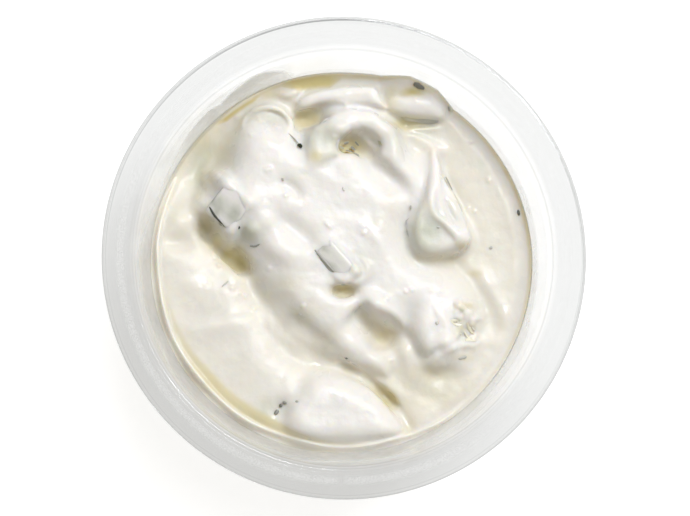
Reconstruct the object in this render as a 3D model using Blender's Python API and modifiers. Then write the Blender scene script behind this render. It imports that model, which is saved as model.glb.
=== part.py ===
"""Tzatziki in a clear round pot: a thick yoghurt dip with cucumber in it, left rough from the spoon.

The pot stands on the origin with +Z up. Lengths are in metres; MM turns millimetres into metres.
The dip is one solid up to its uneven top, cut round the pieces of cucumber that stand out of it.
"""
import math
from collections import namedtuple

import bmesh
import bpy
import numpy as np
from mathutils import Euler, Matrix, Vector

MM = 0.001

# Driving dimensions of the pot, in millimetres
RIM_DIAMETER = 100.0
POT_HEIGHT = 48.0
WALL = 0.7
LIP_DROP = 2.2          # how far the rim's edge turns down
LIP_THICKNESS = 0.8
FLANGE_WIDTH = 5.7      # the flat sealing rim
COLLAR_HEIGHT = 3.6     # the upright band under the rim
STEP_HEIGHT = 0.6       # the stacking step below the collar
SHOULDER_RADIUS = 42.6  # inside of the body wall, just under the step
WALL_TAPER = 14.0       # degrees
HEEL_RADIUS = 3.0
STAND_RING = 4.0        # width of the flat ring that the pot stands on
FLOOR_RISE = 0.6        # the middle of the floor stands this much higher

# Driving dimensions of the dip, in millimetres
FILL_HEIGHT = 34.0      # the dip's level at the wall
GAP = 0.3               # room between touching pieces
TOP_RINGS = 54
TOP_SEGMENTS = 132
KEPT_TRIANGLES = 0.30   # share kept when the flat stretches are thinned out

POT_SEGMENTS = 72
ARC_STEPS = 3
MERGE_DISTANCE = 1e-6

# One spoonful of dip: the line round its foot, the levels of its foot and top over the fill
# line, how wide its flank is, how full the flank curves, and how its top falls along X and Y.
Spoonful = namedtuple("Spoonful", "outline foot top flank fullness slope")
# A ridge, or a groove where its height is below zero: the line it follows, and its width on
# the left and on the right of that line. The wider side is straight, the narrower one rounded.
Fold = namedtuple("Fold", "line height left right fade")

BLEND = 0.6             # fillet where two spoonfuls meet
WALL_FADE = 2.8         # the relief dies out over this width at the wall
SPOONFULS = {
    "left_mass": Spoonful(
        [(-42.5, 17.5), (-35.5, 16), (-30.5, 15), (-29.5, 6.5), (-22, -1), (-16.5, -9), (-12, -13.5),
         (-8.5, -19), (0.5, -24.5), (7, -30), (12.5, -37.5), (8, -46), (-20, -46), (-44, -24), (-50, 0)],
        -1.8, 2.3, 3.6, 2.6, (0.11, 0.06)),
    "heap": Spoonful(
        [(-30, 8), (-29, 12), (-32.5, 21.5), (-30, 28.5), (-25, 32.5), (-16.5, 34), (-9.5, 32.5), (-4.5, 29.5),
         (0.5, 31.5), (7.5, 31.5), (16.5, 26.5), (23, 23), (28, 5.5), (26, 1.5), (30, -3), (32.5, -9),
         (32.5, -15), (28.5, -18.5), (18, -20.5), (14, -16.5), (12, -17.5), (12.5, -22), (10, -24.5),
         (-0.5, -21), (-9, -15.5), (-18, -5.5), (-23, 0)],
        -2.0, 5.4, 9.5, 2.0, (-0.035, 0.03)),
    "back_mass": Spoonful(
        [(-10.5, 34), (-3.5, 37), (2, 38.5), (7.5, 38), (9.5, 35), (11, 31.5), (3.5, 32), (-2.5, 31.5)],
        -0.8, 3.2, 3.0, 2.5, (0.0, 0.0)),
    "back_lump": Spoonful(
        [(-15, 35.5), (-13, 38), (-9, 38.5), (-8, 36), (-11, 34)],
        -0.6, 2.2, 2.0, 2.5, (0.0, 0.0)),
    "front_lump": Spoonful(
        [(-5, -22.5), (0.5, -22.5), (4.5, -24), (11.5, -30.5), (14.5, -37.5), (11, -39), (2, -39),
         (-6.5, -39), (-11.5, -36.5), (-13, -32), (-8.5, -26)],
        -1.2, 4.6, 5.0, 2.4, (0.0, 0.05)),
    "tongue": Spoonful(
        [(13.5, -12), (15, -7), (18.5, -4.5), (23, -8), (25.5, -13), (24, -17.5), (18, -20.5), (15.5, -18.5)],
        1.0, 4.8, 3.0, 2.2, (0.02, 0.03)),
}
FOLDS = {
    "cap_rim": Fold([(-22, 26.5), (-21.5, 30.5), (-16, 33.5), (-11, 31), (-8.5, 26.5)], 1.3, 1.6, 4.5, 0.25),
    "long_trough": Fold([(-1, 24.5), (5.5, 21.5), (12, 16), (13.5, 10.5), (13.5, 5), (20, -0.5)],
                        -3.4, 2.6, 6.5, 0.2),
    "slice_limb": Fold([(0.5, 31), (7, 30.5), (10, 28.5), (13, 20.5), (16, 18)], 1.4, 2.0, 5.5, 0.25),
    "seed_hollow": Fold([(-2, 25), (2, 25), (5.5, 24)], -2.4, 3.4, 2.6, 0.45),
    "slice_tip_dent": Fold([(-8, 23.5), (-6, 22), (-4, 21)], -1.8, 1.6, 1.6, 0.45),
    "behind_slice": Fold([(-8.5, 27), (-6.5, 30.5), (0.5, 33.5)], -3.2, 2.6, 2.6, 0.35),
    "wedge_groove": Fold([(8, 38.5), (9.5, 35), (13, 30.5)], -1.8, 1.8, 1.6, 0.35),
    "shoulder_edge": Fold([(12, 28), (16.5, 26.5), (24, 23)], 0.8, 1.4, 3.6, 0.25),
    "deep_groove": Fold([(-30, 12), (-29.5, 7.5), (-22, 0.5), (-15.5, -8.5)], -2.0, 2.4, 2.8, 0.2),
    "crevice": Fold([(-2.5, -19.5), (5.5, -24.5), (13, -32), (15, -36.5)], -1.3, 1.3, 1.4, 0.2),
    "scoop": Fold([(1.5, -8), (5.5, -9.5), (10, -11.5), (12.5, -14.5), (14, -19)], -4.8, 1.2, 8.5, 0.3),
    "scoop_foot": Fold([(4, -12.5), (7, -15.5), (11, -18)], 1.2, 1.4, 2.4, 0.4),
    "scoop_rim": Fold([(4, -8), (8.5, -9), (11.5, -11), (14, -15)], 1.0, 3.0, 0.9, 0.35),
    "little_fold_one": Fold([(10, -18), (11, -20), (10.5, -22.5)], 1.3, 1.2, 1.2, 0.4),
    "little_fold_two": Fold([(12.5, -17.5), (13.5, -20.5), (13, -24)], 1.6, 1.4, 1.4, 0.4),
    "tongue_side": Fold([(14.5, -14), (15, -17.5), (17.5, -24.5)], -2.2, 1.6, 2.0, 0.35),
    "leaf_left": Fold([(19, 23.5), (19, 12.5), (21, 8.5), (25, 4.5)], 1.5, 3.0, 0.9, 0.15),
    "leaf_right": Fold([(20.5, 23), (25, 12.5), (28, 4)], 1.2, 0.8, 3.0, 0.15),
    "chunk_side": Fold([(13, 14), (13, 7.5), (14.5, 3), (17.5, 0), (22.5, -0.5), (26, 2)], -1.6, 1.6, 2.6, 0.25),
    "flank_crease": Fold([(-11, -11), (-7, -13.5), (0, -19)], -0.9, 1.0, 3.6, 0.3),
    "heap_dent": Fold([(-16.5, 12), (-8.5, 6), (-5, 3)], -1.2, 3.2, 3.0, 0.3),
    "heap_nick": Fold([(-13.5, 16.5), (-10.5, 15.5), (-8, 13)], -0.9, 1.6, 1.6, 0.35),
    "heap_lobe": Fold([(-18, 4.5), (-12.5, 2), (-6, -1)], 0.9, 3.0, 3.0, 0.4),
    "left_crease": Fold([(-32.5, -15), (-28.5, -13.5), (-16.5, -11)], 0.9, 0.8, 5.0, 0.25),
    "left_valley": Fold([(-35, -9.5), (-27.5, -9), (-20.5, -8)], -0.5, 2.5, 2.5, 0.35),
    "left_dent": Fold([(-38.5, 4.5), (-34.5, 4.5), (-30, 5)], -1.2, 3.0, 2.6, 0.35),
    "upper_crease": Fold([(-30.5, 21.5), (-29.5, 17.5), (-27.5, 13.5)], -0.8, 1.2, 2.6, 0.4),
    "right_ridge": Fold([(25.5, 1.5), (31.5, -5), (36, -14.5)], 0.7, 1.2, 1.6, 0.2),
    "right_groove": Fold([(27, -1.5), (32, -11.5), (32.5, -17.5)], -0.9, 2.0, 2.2, 0.3),
    "under_heap": Fold([(15, -21.5), (20, -22.5), (29, -19.5)], -1.6, 2.4, 5.0, 0.35),
    "terrace_fold": Fold([(14, -28.5), (18.5, -29.5), (28.5, -26)], -0.6, 2.5, 2.5, 0.35),
}


# ---------------------------------------------------------------- scene and materials

def clear_scene():
    for item in list(bpy.data.objects):
        bpy.data.objects.remove(item)


def new_collection(name):
    collection = bpy.data.collections.new(name)
    bpy.context.scene.collection.children.link(collection)
    return collection


def new_object(name, mesh, collection, finish=None):
    item = bpy.data.objects.new(name, mesh)
    collection.objects.link(item)
    if finish is not None:
        mesh.materials.append(finish)
    return item


def plain_finish(name, colour, roughness, transmission=0.0):
    finish = bpy.data.materials.new(name)
    finish.use_nodes = True
    shader = finish.node_tree.nodes["Principled BSDF"]
    shader.inputs["Base Color"].default_value = (*colour, 1.0)
    shader.inputs["Roughness"].default_value = roughness
    shader.inputs["Metallic"].default_value = 0.0
    shader.inputs["Transmission Weight"].default_value = transmission
    return finish


# ---------------------------------------------------------------- the pot

def wall_radius(height):
    """The inside radius of the body wall at a height."""
    below_shoulder = POT_HEIGHT - COLLAR_HEIGHT - STEP_HEIGHT - height
    return SHOULDER_RADIUS - below_shoulder * math.tan(math.radians(WALL_TAPER))


def heel_arc(radius, floor, reach):
    """The curve from the floor up into the tapered wall, outwards and upwards."""
    turn = math.radians(90.0 - WALL_TAPER)
    middle = (reach, floor + radius)
    return [(middle[0] + radius * math.sin(turn * k / ARC_STEPS), middle[1] - radius * math.cos(turn * k / ARC_STEPS))
            for k in range(ARC_STEPS + 1)]


def heel_reach(radius, floor, outward):
    """How far out the middle of a heel curve lies, so that it runs on into the wall."""
    turn = math.radians(90.0 - WALL_TAPER)
    end_height = floor + radius - radius * math.cos(turn)
    return wall_radius(end_height) + outward - radius * math.sin(turn)


def pot_profile():
    """Half the pot's section: from the middle of the floor up the inside, over the rim and down the outside."""
    rim = RIM_DIAMETER / 2
    flange_start = rim - FLANGE_WIDTH
    shoulder = POT_HEIGHT - COLLAR_HEIGHT - STEP_HEIGHT
    collar_foot = SHOULDER_RADIUS + 0.5
    outer = WALL / math.cos(math.radians(WALL_TAPER))
    inner_heel = heel_arc(HEEL_RADIUS - WALL, WALL, heel_reach(HEEL_RADIUS - WALL, WALL, 0.0))
    outer_heel = heel_arc(HEEL_RADIUS, 0.0, heel_reach(HEEL_RADIUS, 0.0, outer))
    ring_inner = outer_heel[0][0] - STAND_RING
    inside = [(0.0, FLOOR_RISE + WALL), (ring_inner - 1.2, FLOOR_RISE + WALL), (ring_inner, WALL)]
    inside += inner_heel
    inside += [(SHOULDER_RADIUS, shoulder), (collar_foot, shoulder + STEP_HEIGHT),
               (flange_start - 0.8, POT_HEIGHT - 0.8), (flange_start - 0.4, POT_HEIGHT - 0.2), (flange_start, POT_HEIGHT)]
    edge = [(rim - 0.9, POT_HEIGHT), (rim - 0.25, POT_HEIGHT - 0.25), (rim, POT_HEIGHT - 0.9),
            (rim, POT_HEIGHT - LIP_DROP), (rim - LIP_THICKNESS, POT_HEIGHT - LIP_DROP),
            (rim - LIP_THICKNESS, POT_HEIGHT - LIP_THICKNESS)]
    outside = [(flange_start + 0.1, POT_HEIGHT - LIP_THICKNESS), (collar_foot + WALL, shoulder + 0.3),
               (SHOULDER_RADIUS + WALL, shoulder - 0.2)]
    outside += reversed(outer_heel)
    outside += [(ring_inner, 0.0), (ring_inner - 1.2, FLOOR_RISE), (0.0, FLOOR_RISE)]
    return inside + edge + outside


def turned(name, profile, segments, collection, finish):
    """A solid of revolution about Z from its half section, in millimetres."""
    mesh = bpy.data.meshes.new(name)
    shape = bmesh.new()
    corners = [shape.verts.new((r * MM, 0.0, z * MM)) for r, z in profile]
    for a, b in zip(corners, corners[1:]):
        shape.edges.new((a, b))
    shape.to_mesh(mesh)
    shape.free()
    item = new_object(name, mesh, collection, finish)
    screw = item.modifiers.new("turn", "SCREW")
    screw.axis = "Z"
    screw.steps = segments
    screw.render_steps = segments
    screw.use_merge_vertices = True
    screw.merge_threshold = MERGE_DISTANCE
    screw.use_smooth_shade = True
    return item


# ---------------------------------------------------------------- the dip's relief

def smooth_line(points, closed=False, steps=5):
    """Points along a smooth curve through a few given ones."""
    p = np.array(points, float)
    if closed:
        p = np.vstack([p[-1], p, p[0], p[1]])
    else:
        p = np.vstack([2 * p[0] - p[1], p, 2 * p[-1] - p[-2]])
    t = np.arange(steps)[:, None] / steps
    spans = []
    for a, b, c, d in zip(p, p[1:], p[2:], p[3:]):
        spans.append(0.5 * (2 * b + (c - a) * t + (2 * a - 5 * b + 4 * c - d) * t ** 2
                            + (3 * b - a - 3 * c + d) * t ** 3))
    return np.vstack(spans + [p[-2:-1]])


def nearest(x, y, line):
    """The distance to a line, +1 on its left and -1 on its right, and the share of the way along."""
    best = np.full(x.shape, np.inf)
    side = np.ones(x.shape)
    share = np.zeros(x.shape)
    spans = len(line) - 1
    for k in range(spans):
        (ax, ay), (dx, dy) = line[k], line[k + 1] - line[k]
        t = np.clip(((x - ax) * dx + (y - ay) * dy) / (dx * dx + dy * dy), 0, 1)
        ex, ey = x - ax - t * dx, y - ay - t * dy
        away = np.hypot(ex, ey)
        nearer = away < best
        best = np.where(nearer, away, best)
        side = np.where(nearer, np.where(dx * ey >= dy * ex, 1.0, -1.0), side)
        share = np.where(nearer, (k + t) / spans, share)
    return best, side, share


def is_inside(x, y, line):
    """Whether points lie inside a closed line."""
    odd = np.zeros(x.shape, bool)
    for (ax, ay), (bx, by) in zip(line, line[1:]):
        if ay != by:
            crosses = (ay > y) != (by > y)
            odd ^= crosses & (x < ax + (y - ay) * (bx - ax) / (by - ay))
    return odd


def ease(t):
    t = np.clip(t, 0, 1)
    return t * t * (3 - 2 * t)


def higher_of(a, b):
    """The higher of two surfaces, with a small fillet where they meet."""
    near = np.maximum(BLEND - np.abs(a - b), 0) / BLEND
    return np.maximum(a, b) + near ** 2 * BLEND / 4


def spoonful_height(x, y, spoonful):
    line = smooth_line(spoonful.outline, closed=True)
    away = nearest(x, y, line)[0]
    depth = np.where(is_inside(x, y, line), away, -away)
    middle = line[:-1].mean(axis=0)
    top = spoonful.top + spoonful.slope[0] * (x - middle[0]) + spoonful.slope[1] * (y - middle[1])
    flank = np.clip(depth / spoonful.flank, 0, 1)
    rise = spoonful.foot + (top - spoonful.foot) * (1 - (1 - flank) ** spoonful.fullness)
    return np.where(depth < 0, spoonful.foot + 3 * depth, rise)


def fold_height(x, y, fold):
    away, side, share = nearest(x, y, smooth_line(fold.line))
    width = np.where(side > 0, fold.left, fold.right)
    t = np.clip(away / width, 0, 1)
    straight = (1 - t) ** 1.5
    rounded = (1 - t * t) ** 2
    section = np.where(width > min(fold.left, fold.right), straight, rounded)
    return fold.height * section * ease(np.minimum(share, 1 - share) / fold.fade)


def relief(x, y):
    """The height of the dip's top over the fill line at points x, y; all in millimetres."""
    reach = np.hypot(x, y)
    z = 1.2 - 1.2 * ease((reach - 31) / 9)
    z = z - 2.0 * np.exp(-(((x + 28) / 7) ** 2 + ((y - 18) / 13) ** 2))
    for spoonful in SPOONFULS.values():
        z = higher_of(z, spoonful_height(x, y, spoonful))
    for fold in FOLDS.values():
        z = z + fold_height(x, y, fold)
    edge = wall_radius(FILL_HEIGHT) - GAP
    return z * ease((edge - reach) / WALL_FADE)


def dip_mesh():
    """The dip as one closed body: its top, spun from rings and raised by the relief, and its side and bottom."""
    edge = wall_radius(FILL_HEIGHT) - GAP
    floor = WALL + FLOOR_RISE + GAP
    heel = heel_arc(HEEL_RADIUS - WALL, floor, heel_reach(HEEL_RADIUS - WALL, floor, -GAP))
    profile = [(edge * k / TOP_RINGS, FILL_HEIGHT) for k in range(TOP_RINGS + 1)]
    profile += [(wall_radius(h) - GAP, h) for h in (FILL_HEIGHT - 8.0, FILL_HEIGHT - 20.0)]
    profile += reversed(heel)
    profile += [(heel[0][0] * 0.5, floor), (0.0, floor)]
    shape = bmesh.new()
    corners = [shape.verts.new((r, 0.0, z)) for r, z in profile]
    edges = [shape.edges.new(pair) for pair in zip(corners, corners[1:])]
    bmesh.ops.spin(shape, geom=corners + edges, cent=(0, 0, 0), axis=(0, 0, 1), angle=2 * math.pi,
                   steps=TOP_SEGMENTS, use_merge=True)
    bmesh.ops.remove_doubles(shape, verts=shape.verts, dist=0.001)
    top = [v for v in shape.verts if v.co.z > FILL_HEIGHT - 0.01]
    x = np.array([v.co.x for v in top])
    y = np.array([v.co.y for v in top])
    for vertex, rise in zip(top, relief(x, y)):
        vertex.co.z += rise
    bmesh.ops.triangulate(shape, faces=shape.faces)
    bmesh.ops.recalc_face_normals(shape, faces=shape.faces)
    bmesh.ops.scale(shape, vec=(MM, MM, MM), verts=shape.verts)
    mesh = bpy.data.meshes.new("dip")
    shape.to_mesh(mesh)
    shape.free()
    mesh.shade_smooth()
    return mesh


# ---------------------------------------------------------------- the cucumber

def finished(shape, name, place, turn):
    """A piece's mesh from its shape in millimetres, turned and put in its place."""
    matrix = Matrix.Translation(Vector(place)) @ Euler([math.radians(a) for a in turn]).to_matrix().to_4x4()
    bmesh.ops.transform(shape, matrix=Matrix.Scale(MM, 4) @ matrix, verts=shape.verts)
    bmesh.ops.recalc_face_normals(shape, faces=shape.faces)
    mesh = bpy.data.meshes.new(name)
    shape.to_mesh(mesh)
    shape.free()
    return mesh


def soften(shape, width):
    bmesh.ops.bevel(shape, geom=shape.edges[:], offset=width, affect="EDGES", segments=2, profile=0.5, material=-1)


def block(size, grow):
    """A cut block of cucumber with soft edges."""
    shape = bmesh.new()
    bmesh.ops.create_cube(shape, size=1.0)
    bmesh.ops.scale(shape, vec=[s + 2 * grow for s in size], verts=shape.verts)
    soften(shape, 0.2 * min(size))
    return shape


def wedge(size, grow):
    """A three-sided length of cucumber, lying along X with its ridge up."""
    length, width, height = size
    shape = bmesh.new()
    bmesh.ops.create_cube(shape, size=1.0)
    for vertex in shape.verts:
        narrow = 0.3 if vertex.co.z > 0 else 1.0
        vertex.co.x *= length + 2 * grow
        vertex.co.y *= narrow * width + 2 * grow
        vertex.co.z *= height + 2 * grow
    soften(shape, 0.14 * min(size))
    return shape


def ring_slice(size, grow):
    """Most of a ring cut across a cucumber, lying flat, with the seed hollow open at one side."""
    outer, inner, thickness = size
    start, sweep = math.radians(-15.0), math.radians(210.0)
    start -= grow / inner
    sweep += 2 * grow / inner
    low, high = inner - grow, outer + grow
    half = thickness / 2 + grow
    cut = 0.25 * thickness
    section = [(low + cut, -half), (high - cut, -half), (high, cut - half), (high, half - cut),
               (high - cut, half), (low + cut, half), (low, half - cut), (low, cut - half)]
    shape = bmesh.new()
    corners = [shape.verts.new((r * math.cos(start), r * math.sin(start), z)) for r, z in section]
    face = shape.faces.new(corners)
    bmesh.ops.spin(shape, geom=[face] + list(face.edges) + corners, cent=(0, 0, 0), axis=(0, 0, 1), angle=sweep,
                   steps=12, use_merge=False)
    end_gap = [e for e in shape.edges if e.is_boundary]
    if end_gap:
        bmesh.ops.holes_fill(shape, edges=end_gap)
    return shape


# Each piece: its form, its sizes, the place of its middle and its turn in degrees
Piece = namedtuple("Piece", "form size place turn")
PIECES = {
    "cucumber_dice": Piece(block, (8.5, 7.5, 6.5), (-23.0, 11.8, FILL_HEIGHT + 2.6), (20, -24, 40)),
    "cucumber_sliver": Piece(block, (10.5, 4.5, 6.0), (0.6, -1.6, FILL_HEIGHT + 3.4), (-20, 4, -46)),
    "cucumber_slice": Piece(ring_slice, (10.4, 4.6, 4.0), (2.2, 22.4, FILL_HEIGHT + 4.4), (6, 4, 0)),
    "cucumber_wedge": Piece(wedge, (11.5, 6.4, 5.4), (14.4, 32.4, FILL_HEIGHT + 1.2), (0, 0, -24)),
    "cucumber_chunk": Piece(block, (9.5, 11.0, 7.5), (20.2, 6.0, FILL_HEIGHT + 1.9), (8, 12, 24)),
}


def add_cucumber(dip, parts, cutters, finish):
    """The pieces of cucumber, and a cutter round each that leaves its bed in the dip."""
    for name, piece in PIECES.items():
        mesh = finished(piece.form(piece.size, 0.0), name, piece.place, piece.turn)
        new_object(name, mesh, parts, finish).data.shade_smooth()
        bed = finished(piece.form(piece.size, GAP), name + "_bed", piece.place, piece.turn)
        cutter = new_object(name + "_bed", bed, cutters)
        cutter.hide_render = True
        cutter.display_type = "WIRE"
        cut = dip.modifiers.new("bed of " + name, "BOOLEAN")
        cut.operation = "DIFFERENCE"
        cut.solver = "EXACT"
        cut.object = cutter


def main():
    clear_scene()
    parts = new_collection("tzatziki_dip")
    cutters = new_collection("cutters")
    clear_plastic = plain_finish("clear plastic", (0.94, 0.95, 0.95), 0.06, 0.9)
    cream = plain_finish("yoghurt dip", (0.90, 0.86, 0.74), 0.28)
    flesh = plain_finish("cucumber flesh", (0.62, 0.68, 0.52), 0.32)
    turned("tub", pot_profile(), POT_SEGMENTS, parts, clear_plastic)
    dip = new_object("dip", dip_mesh(), parts, cream)
    thin = dip.modifiers.new("thin out flat stretches", "DECIMATE")
    thin.decimate_type = "COLLAPSE"
    thin.ratio = KEPT_TRIANGLES
    add_cucumber(dip, parts, cutters, flesh)


main()
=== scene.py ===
import math
import random
from collections import namedtuple

import bmesh
import bpy
import numpy as np
from mathutils import Matrix, Vector, noise
from mathutils.bvhtree import BVHTree


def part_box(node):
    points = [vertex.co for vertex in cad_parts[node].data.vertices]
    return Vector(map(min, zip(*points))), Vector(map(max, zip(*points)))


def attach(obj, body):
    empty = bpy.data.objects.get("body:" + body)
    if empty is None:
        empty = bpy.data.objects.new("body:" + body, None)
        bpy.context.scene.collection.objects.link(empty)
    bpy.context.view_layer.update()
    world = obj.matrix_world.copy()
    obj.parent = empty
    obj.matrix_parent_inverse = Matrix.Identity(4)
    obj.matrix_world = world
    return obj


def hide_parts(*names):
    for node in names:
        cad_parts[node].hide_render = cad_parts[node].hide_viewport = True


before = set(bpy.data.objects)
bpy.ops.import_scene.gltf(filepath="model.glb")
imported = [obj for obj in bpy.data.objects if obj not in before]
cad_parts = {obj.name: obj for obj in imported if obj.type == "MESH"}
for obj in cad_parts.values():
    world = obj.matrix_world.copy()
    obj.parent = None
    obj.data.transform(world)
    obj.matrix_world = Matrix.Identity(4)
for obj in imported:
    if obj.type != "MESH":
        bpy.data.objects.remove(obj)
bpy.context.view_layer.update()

MM = 0.001
SEED = 7

# ---------------------------------------------------------------- sizes, in millimetres

TUB_LOW, TUB_HIGH = (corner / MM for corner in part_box("tub"))
RIM_RADIUS = TUB_HIGH.x
POT_HEIGHT = TUB_HIGH.z
WALL = 0.7
LIP_DROP = 2.2
FLANGE_WIDTH = 5.7
COLLAR_HEIGHT = 3.6
STEP_HEIGHT = 0.6
SHOULDER_RADIUS = 42.6
WALL_TAPER = math.radians(14.0)
HEEL_RADIUS = 3.0
STAND_RING = 4.0
FLOOR_RISE = 0.6
FLANGE_SHEET = 0.45
POT_SEGMENTS = 256

FILL_HEIGHT = 34.0
INTO_WALL = 0.2         # the dip reaches this far into the wall, so that no air shows between them
TOP_RINGS = 138
TOP_SEGMENTS = 620
BLEND = 0.6

# One spoonful of dip: the line round its foot, the levels of its foot and top over the fill
# line, how wide its flank is, how full the flank curves, and how its top falls along X and Y.
Spoonful = namedtuple("Spoonful", "outline foot top flank fullness slope")
# A ridge, or a groove where its height is below zero: the line it follows, and its width on
# the left and on the right of that line. The wider side is straight, the narrower one rounded.
Fold = namedtuple("Fold", "line height left right fade")

SPOONFULS = {
    "left_mass": Spoonful(
        [(-42.5, 17.5), (-35.5, 16), (-32, 13.8), (-29.6, 9.8), (-29.8, 6.2), (-27.2, 3.8), (-24.2, 0.4),
         (-20.0, -1.6), (-17, -7.2), (-13, -12.5), (-9.5, -18), (-1, -23.5), (7, -30), (12.5, -37.5), (8, -46),
         (-20, -46), (-44, -24), (-50, 0)],
        -0.8, 2.4, 9.0, 1.6, (0.09, 0.05)),
    "heap": Spoonful(
        [(-28.8, 9.4), (-29.3, 12.5), (-31, 17), (-30.5, 23), (-27.5, 28.5), (-22.5, 32.2), (-16.5, 34), (-9.5, 32.5),
         (-4.5, 29.5), (0.5, 31.5), (7.5, 31.5), (16.5, 26.5), (23, 23), (28, 5.5), (26, 1.5), (30, -3), (32.5, -9),
         (32.5, -15), (28.5, -18.5), (18, -20.5), (14, -16.5), (12, -17.5), (12.5, -23), (9.5, -26),
         (-1, -23.5), (-11, -16.5), (-18.6, -7), (-21.4, -1.2), (-25.2, 5)],
        -2.0, 5.5, 10.0, 1.7, (-0.05, 0.01)),
    "back_mass": Spoonful(
        [(-10.2, 32.2), (-9.4, 34.6), (-6.5, 36.6), (-2, 37.8), (2.5, 38.4), (7.5, 38), (9.3, 35), (10.5, 31.8),
         (3.6, 31.6), (-1.8, 31.4), (-5, 32), (-7.8, 31.6)],
        -0.4, 4.6, 2.6, 1.8, (0.0, 0.0)),
    "back_lump": Spoonful(
        [(-15, 35.5), (-13, 38), (-9, 38.5), (-8, 36), (-11, 34)],
        -0.6, 2.2, 2.0, 2.5, (0.0, 0.0)),
    "front_lump": Spoonful(
        [(-6.5, -23), (-1, -22.6), (4, -24.4), (7.5, -26.8), (11.5, -30.5), (14.5, -37.5), (11, -39), (2, -39),
         (-6.5, -39), (-11.5, -36.5), (-13, -32), (-10, -26.5)],
        0.8, 4.5, 5.0, 1.9, (-0.04, -0.05)),
    "apron": Spoonful(
        [(12, -18), (14, -13), (24, -10), (31, -14), (31.5, -19), (28, -24), (21, -27.6), (14.5, -27.4), (12, -23.5)],
        -0.2, 4.4, 7.5, 0.7, (0.0, 0.0)),
    "leaf": Spoonful(
        [(19.3, 24.0), (20.4, 21.6), (22.2, 17.2), (24.9, 12.3), (27.0, 7.2), (27.3, 4.6), (25.6, 2.6), (22.3, 1.0),
         (18.4, 0.2), (15.2, 1.6), (13.6, 5.6), (14.0, 9.5), (15.4, 13), (17.0, 16.5), (18.2, 20)],
        2.0, 6.3, 2.6, 1.8, (0.0, 0.0)),
    "tongue": Spoonful(
        [(13.5, -12), (15, -7), (18.5, -4.5), (23, -8), (25.5, -13), (24.4, -18.6), (17.9, -21.2), (15.3, -18.5)],
        1.0, 5.0, 4.0, 2.0, (0.0, 0.02)),
}
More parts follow.
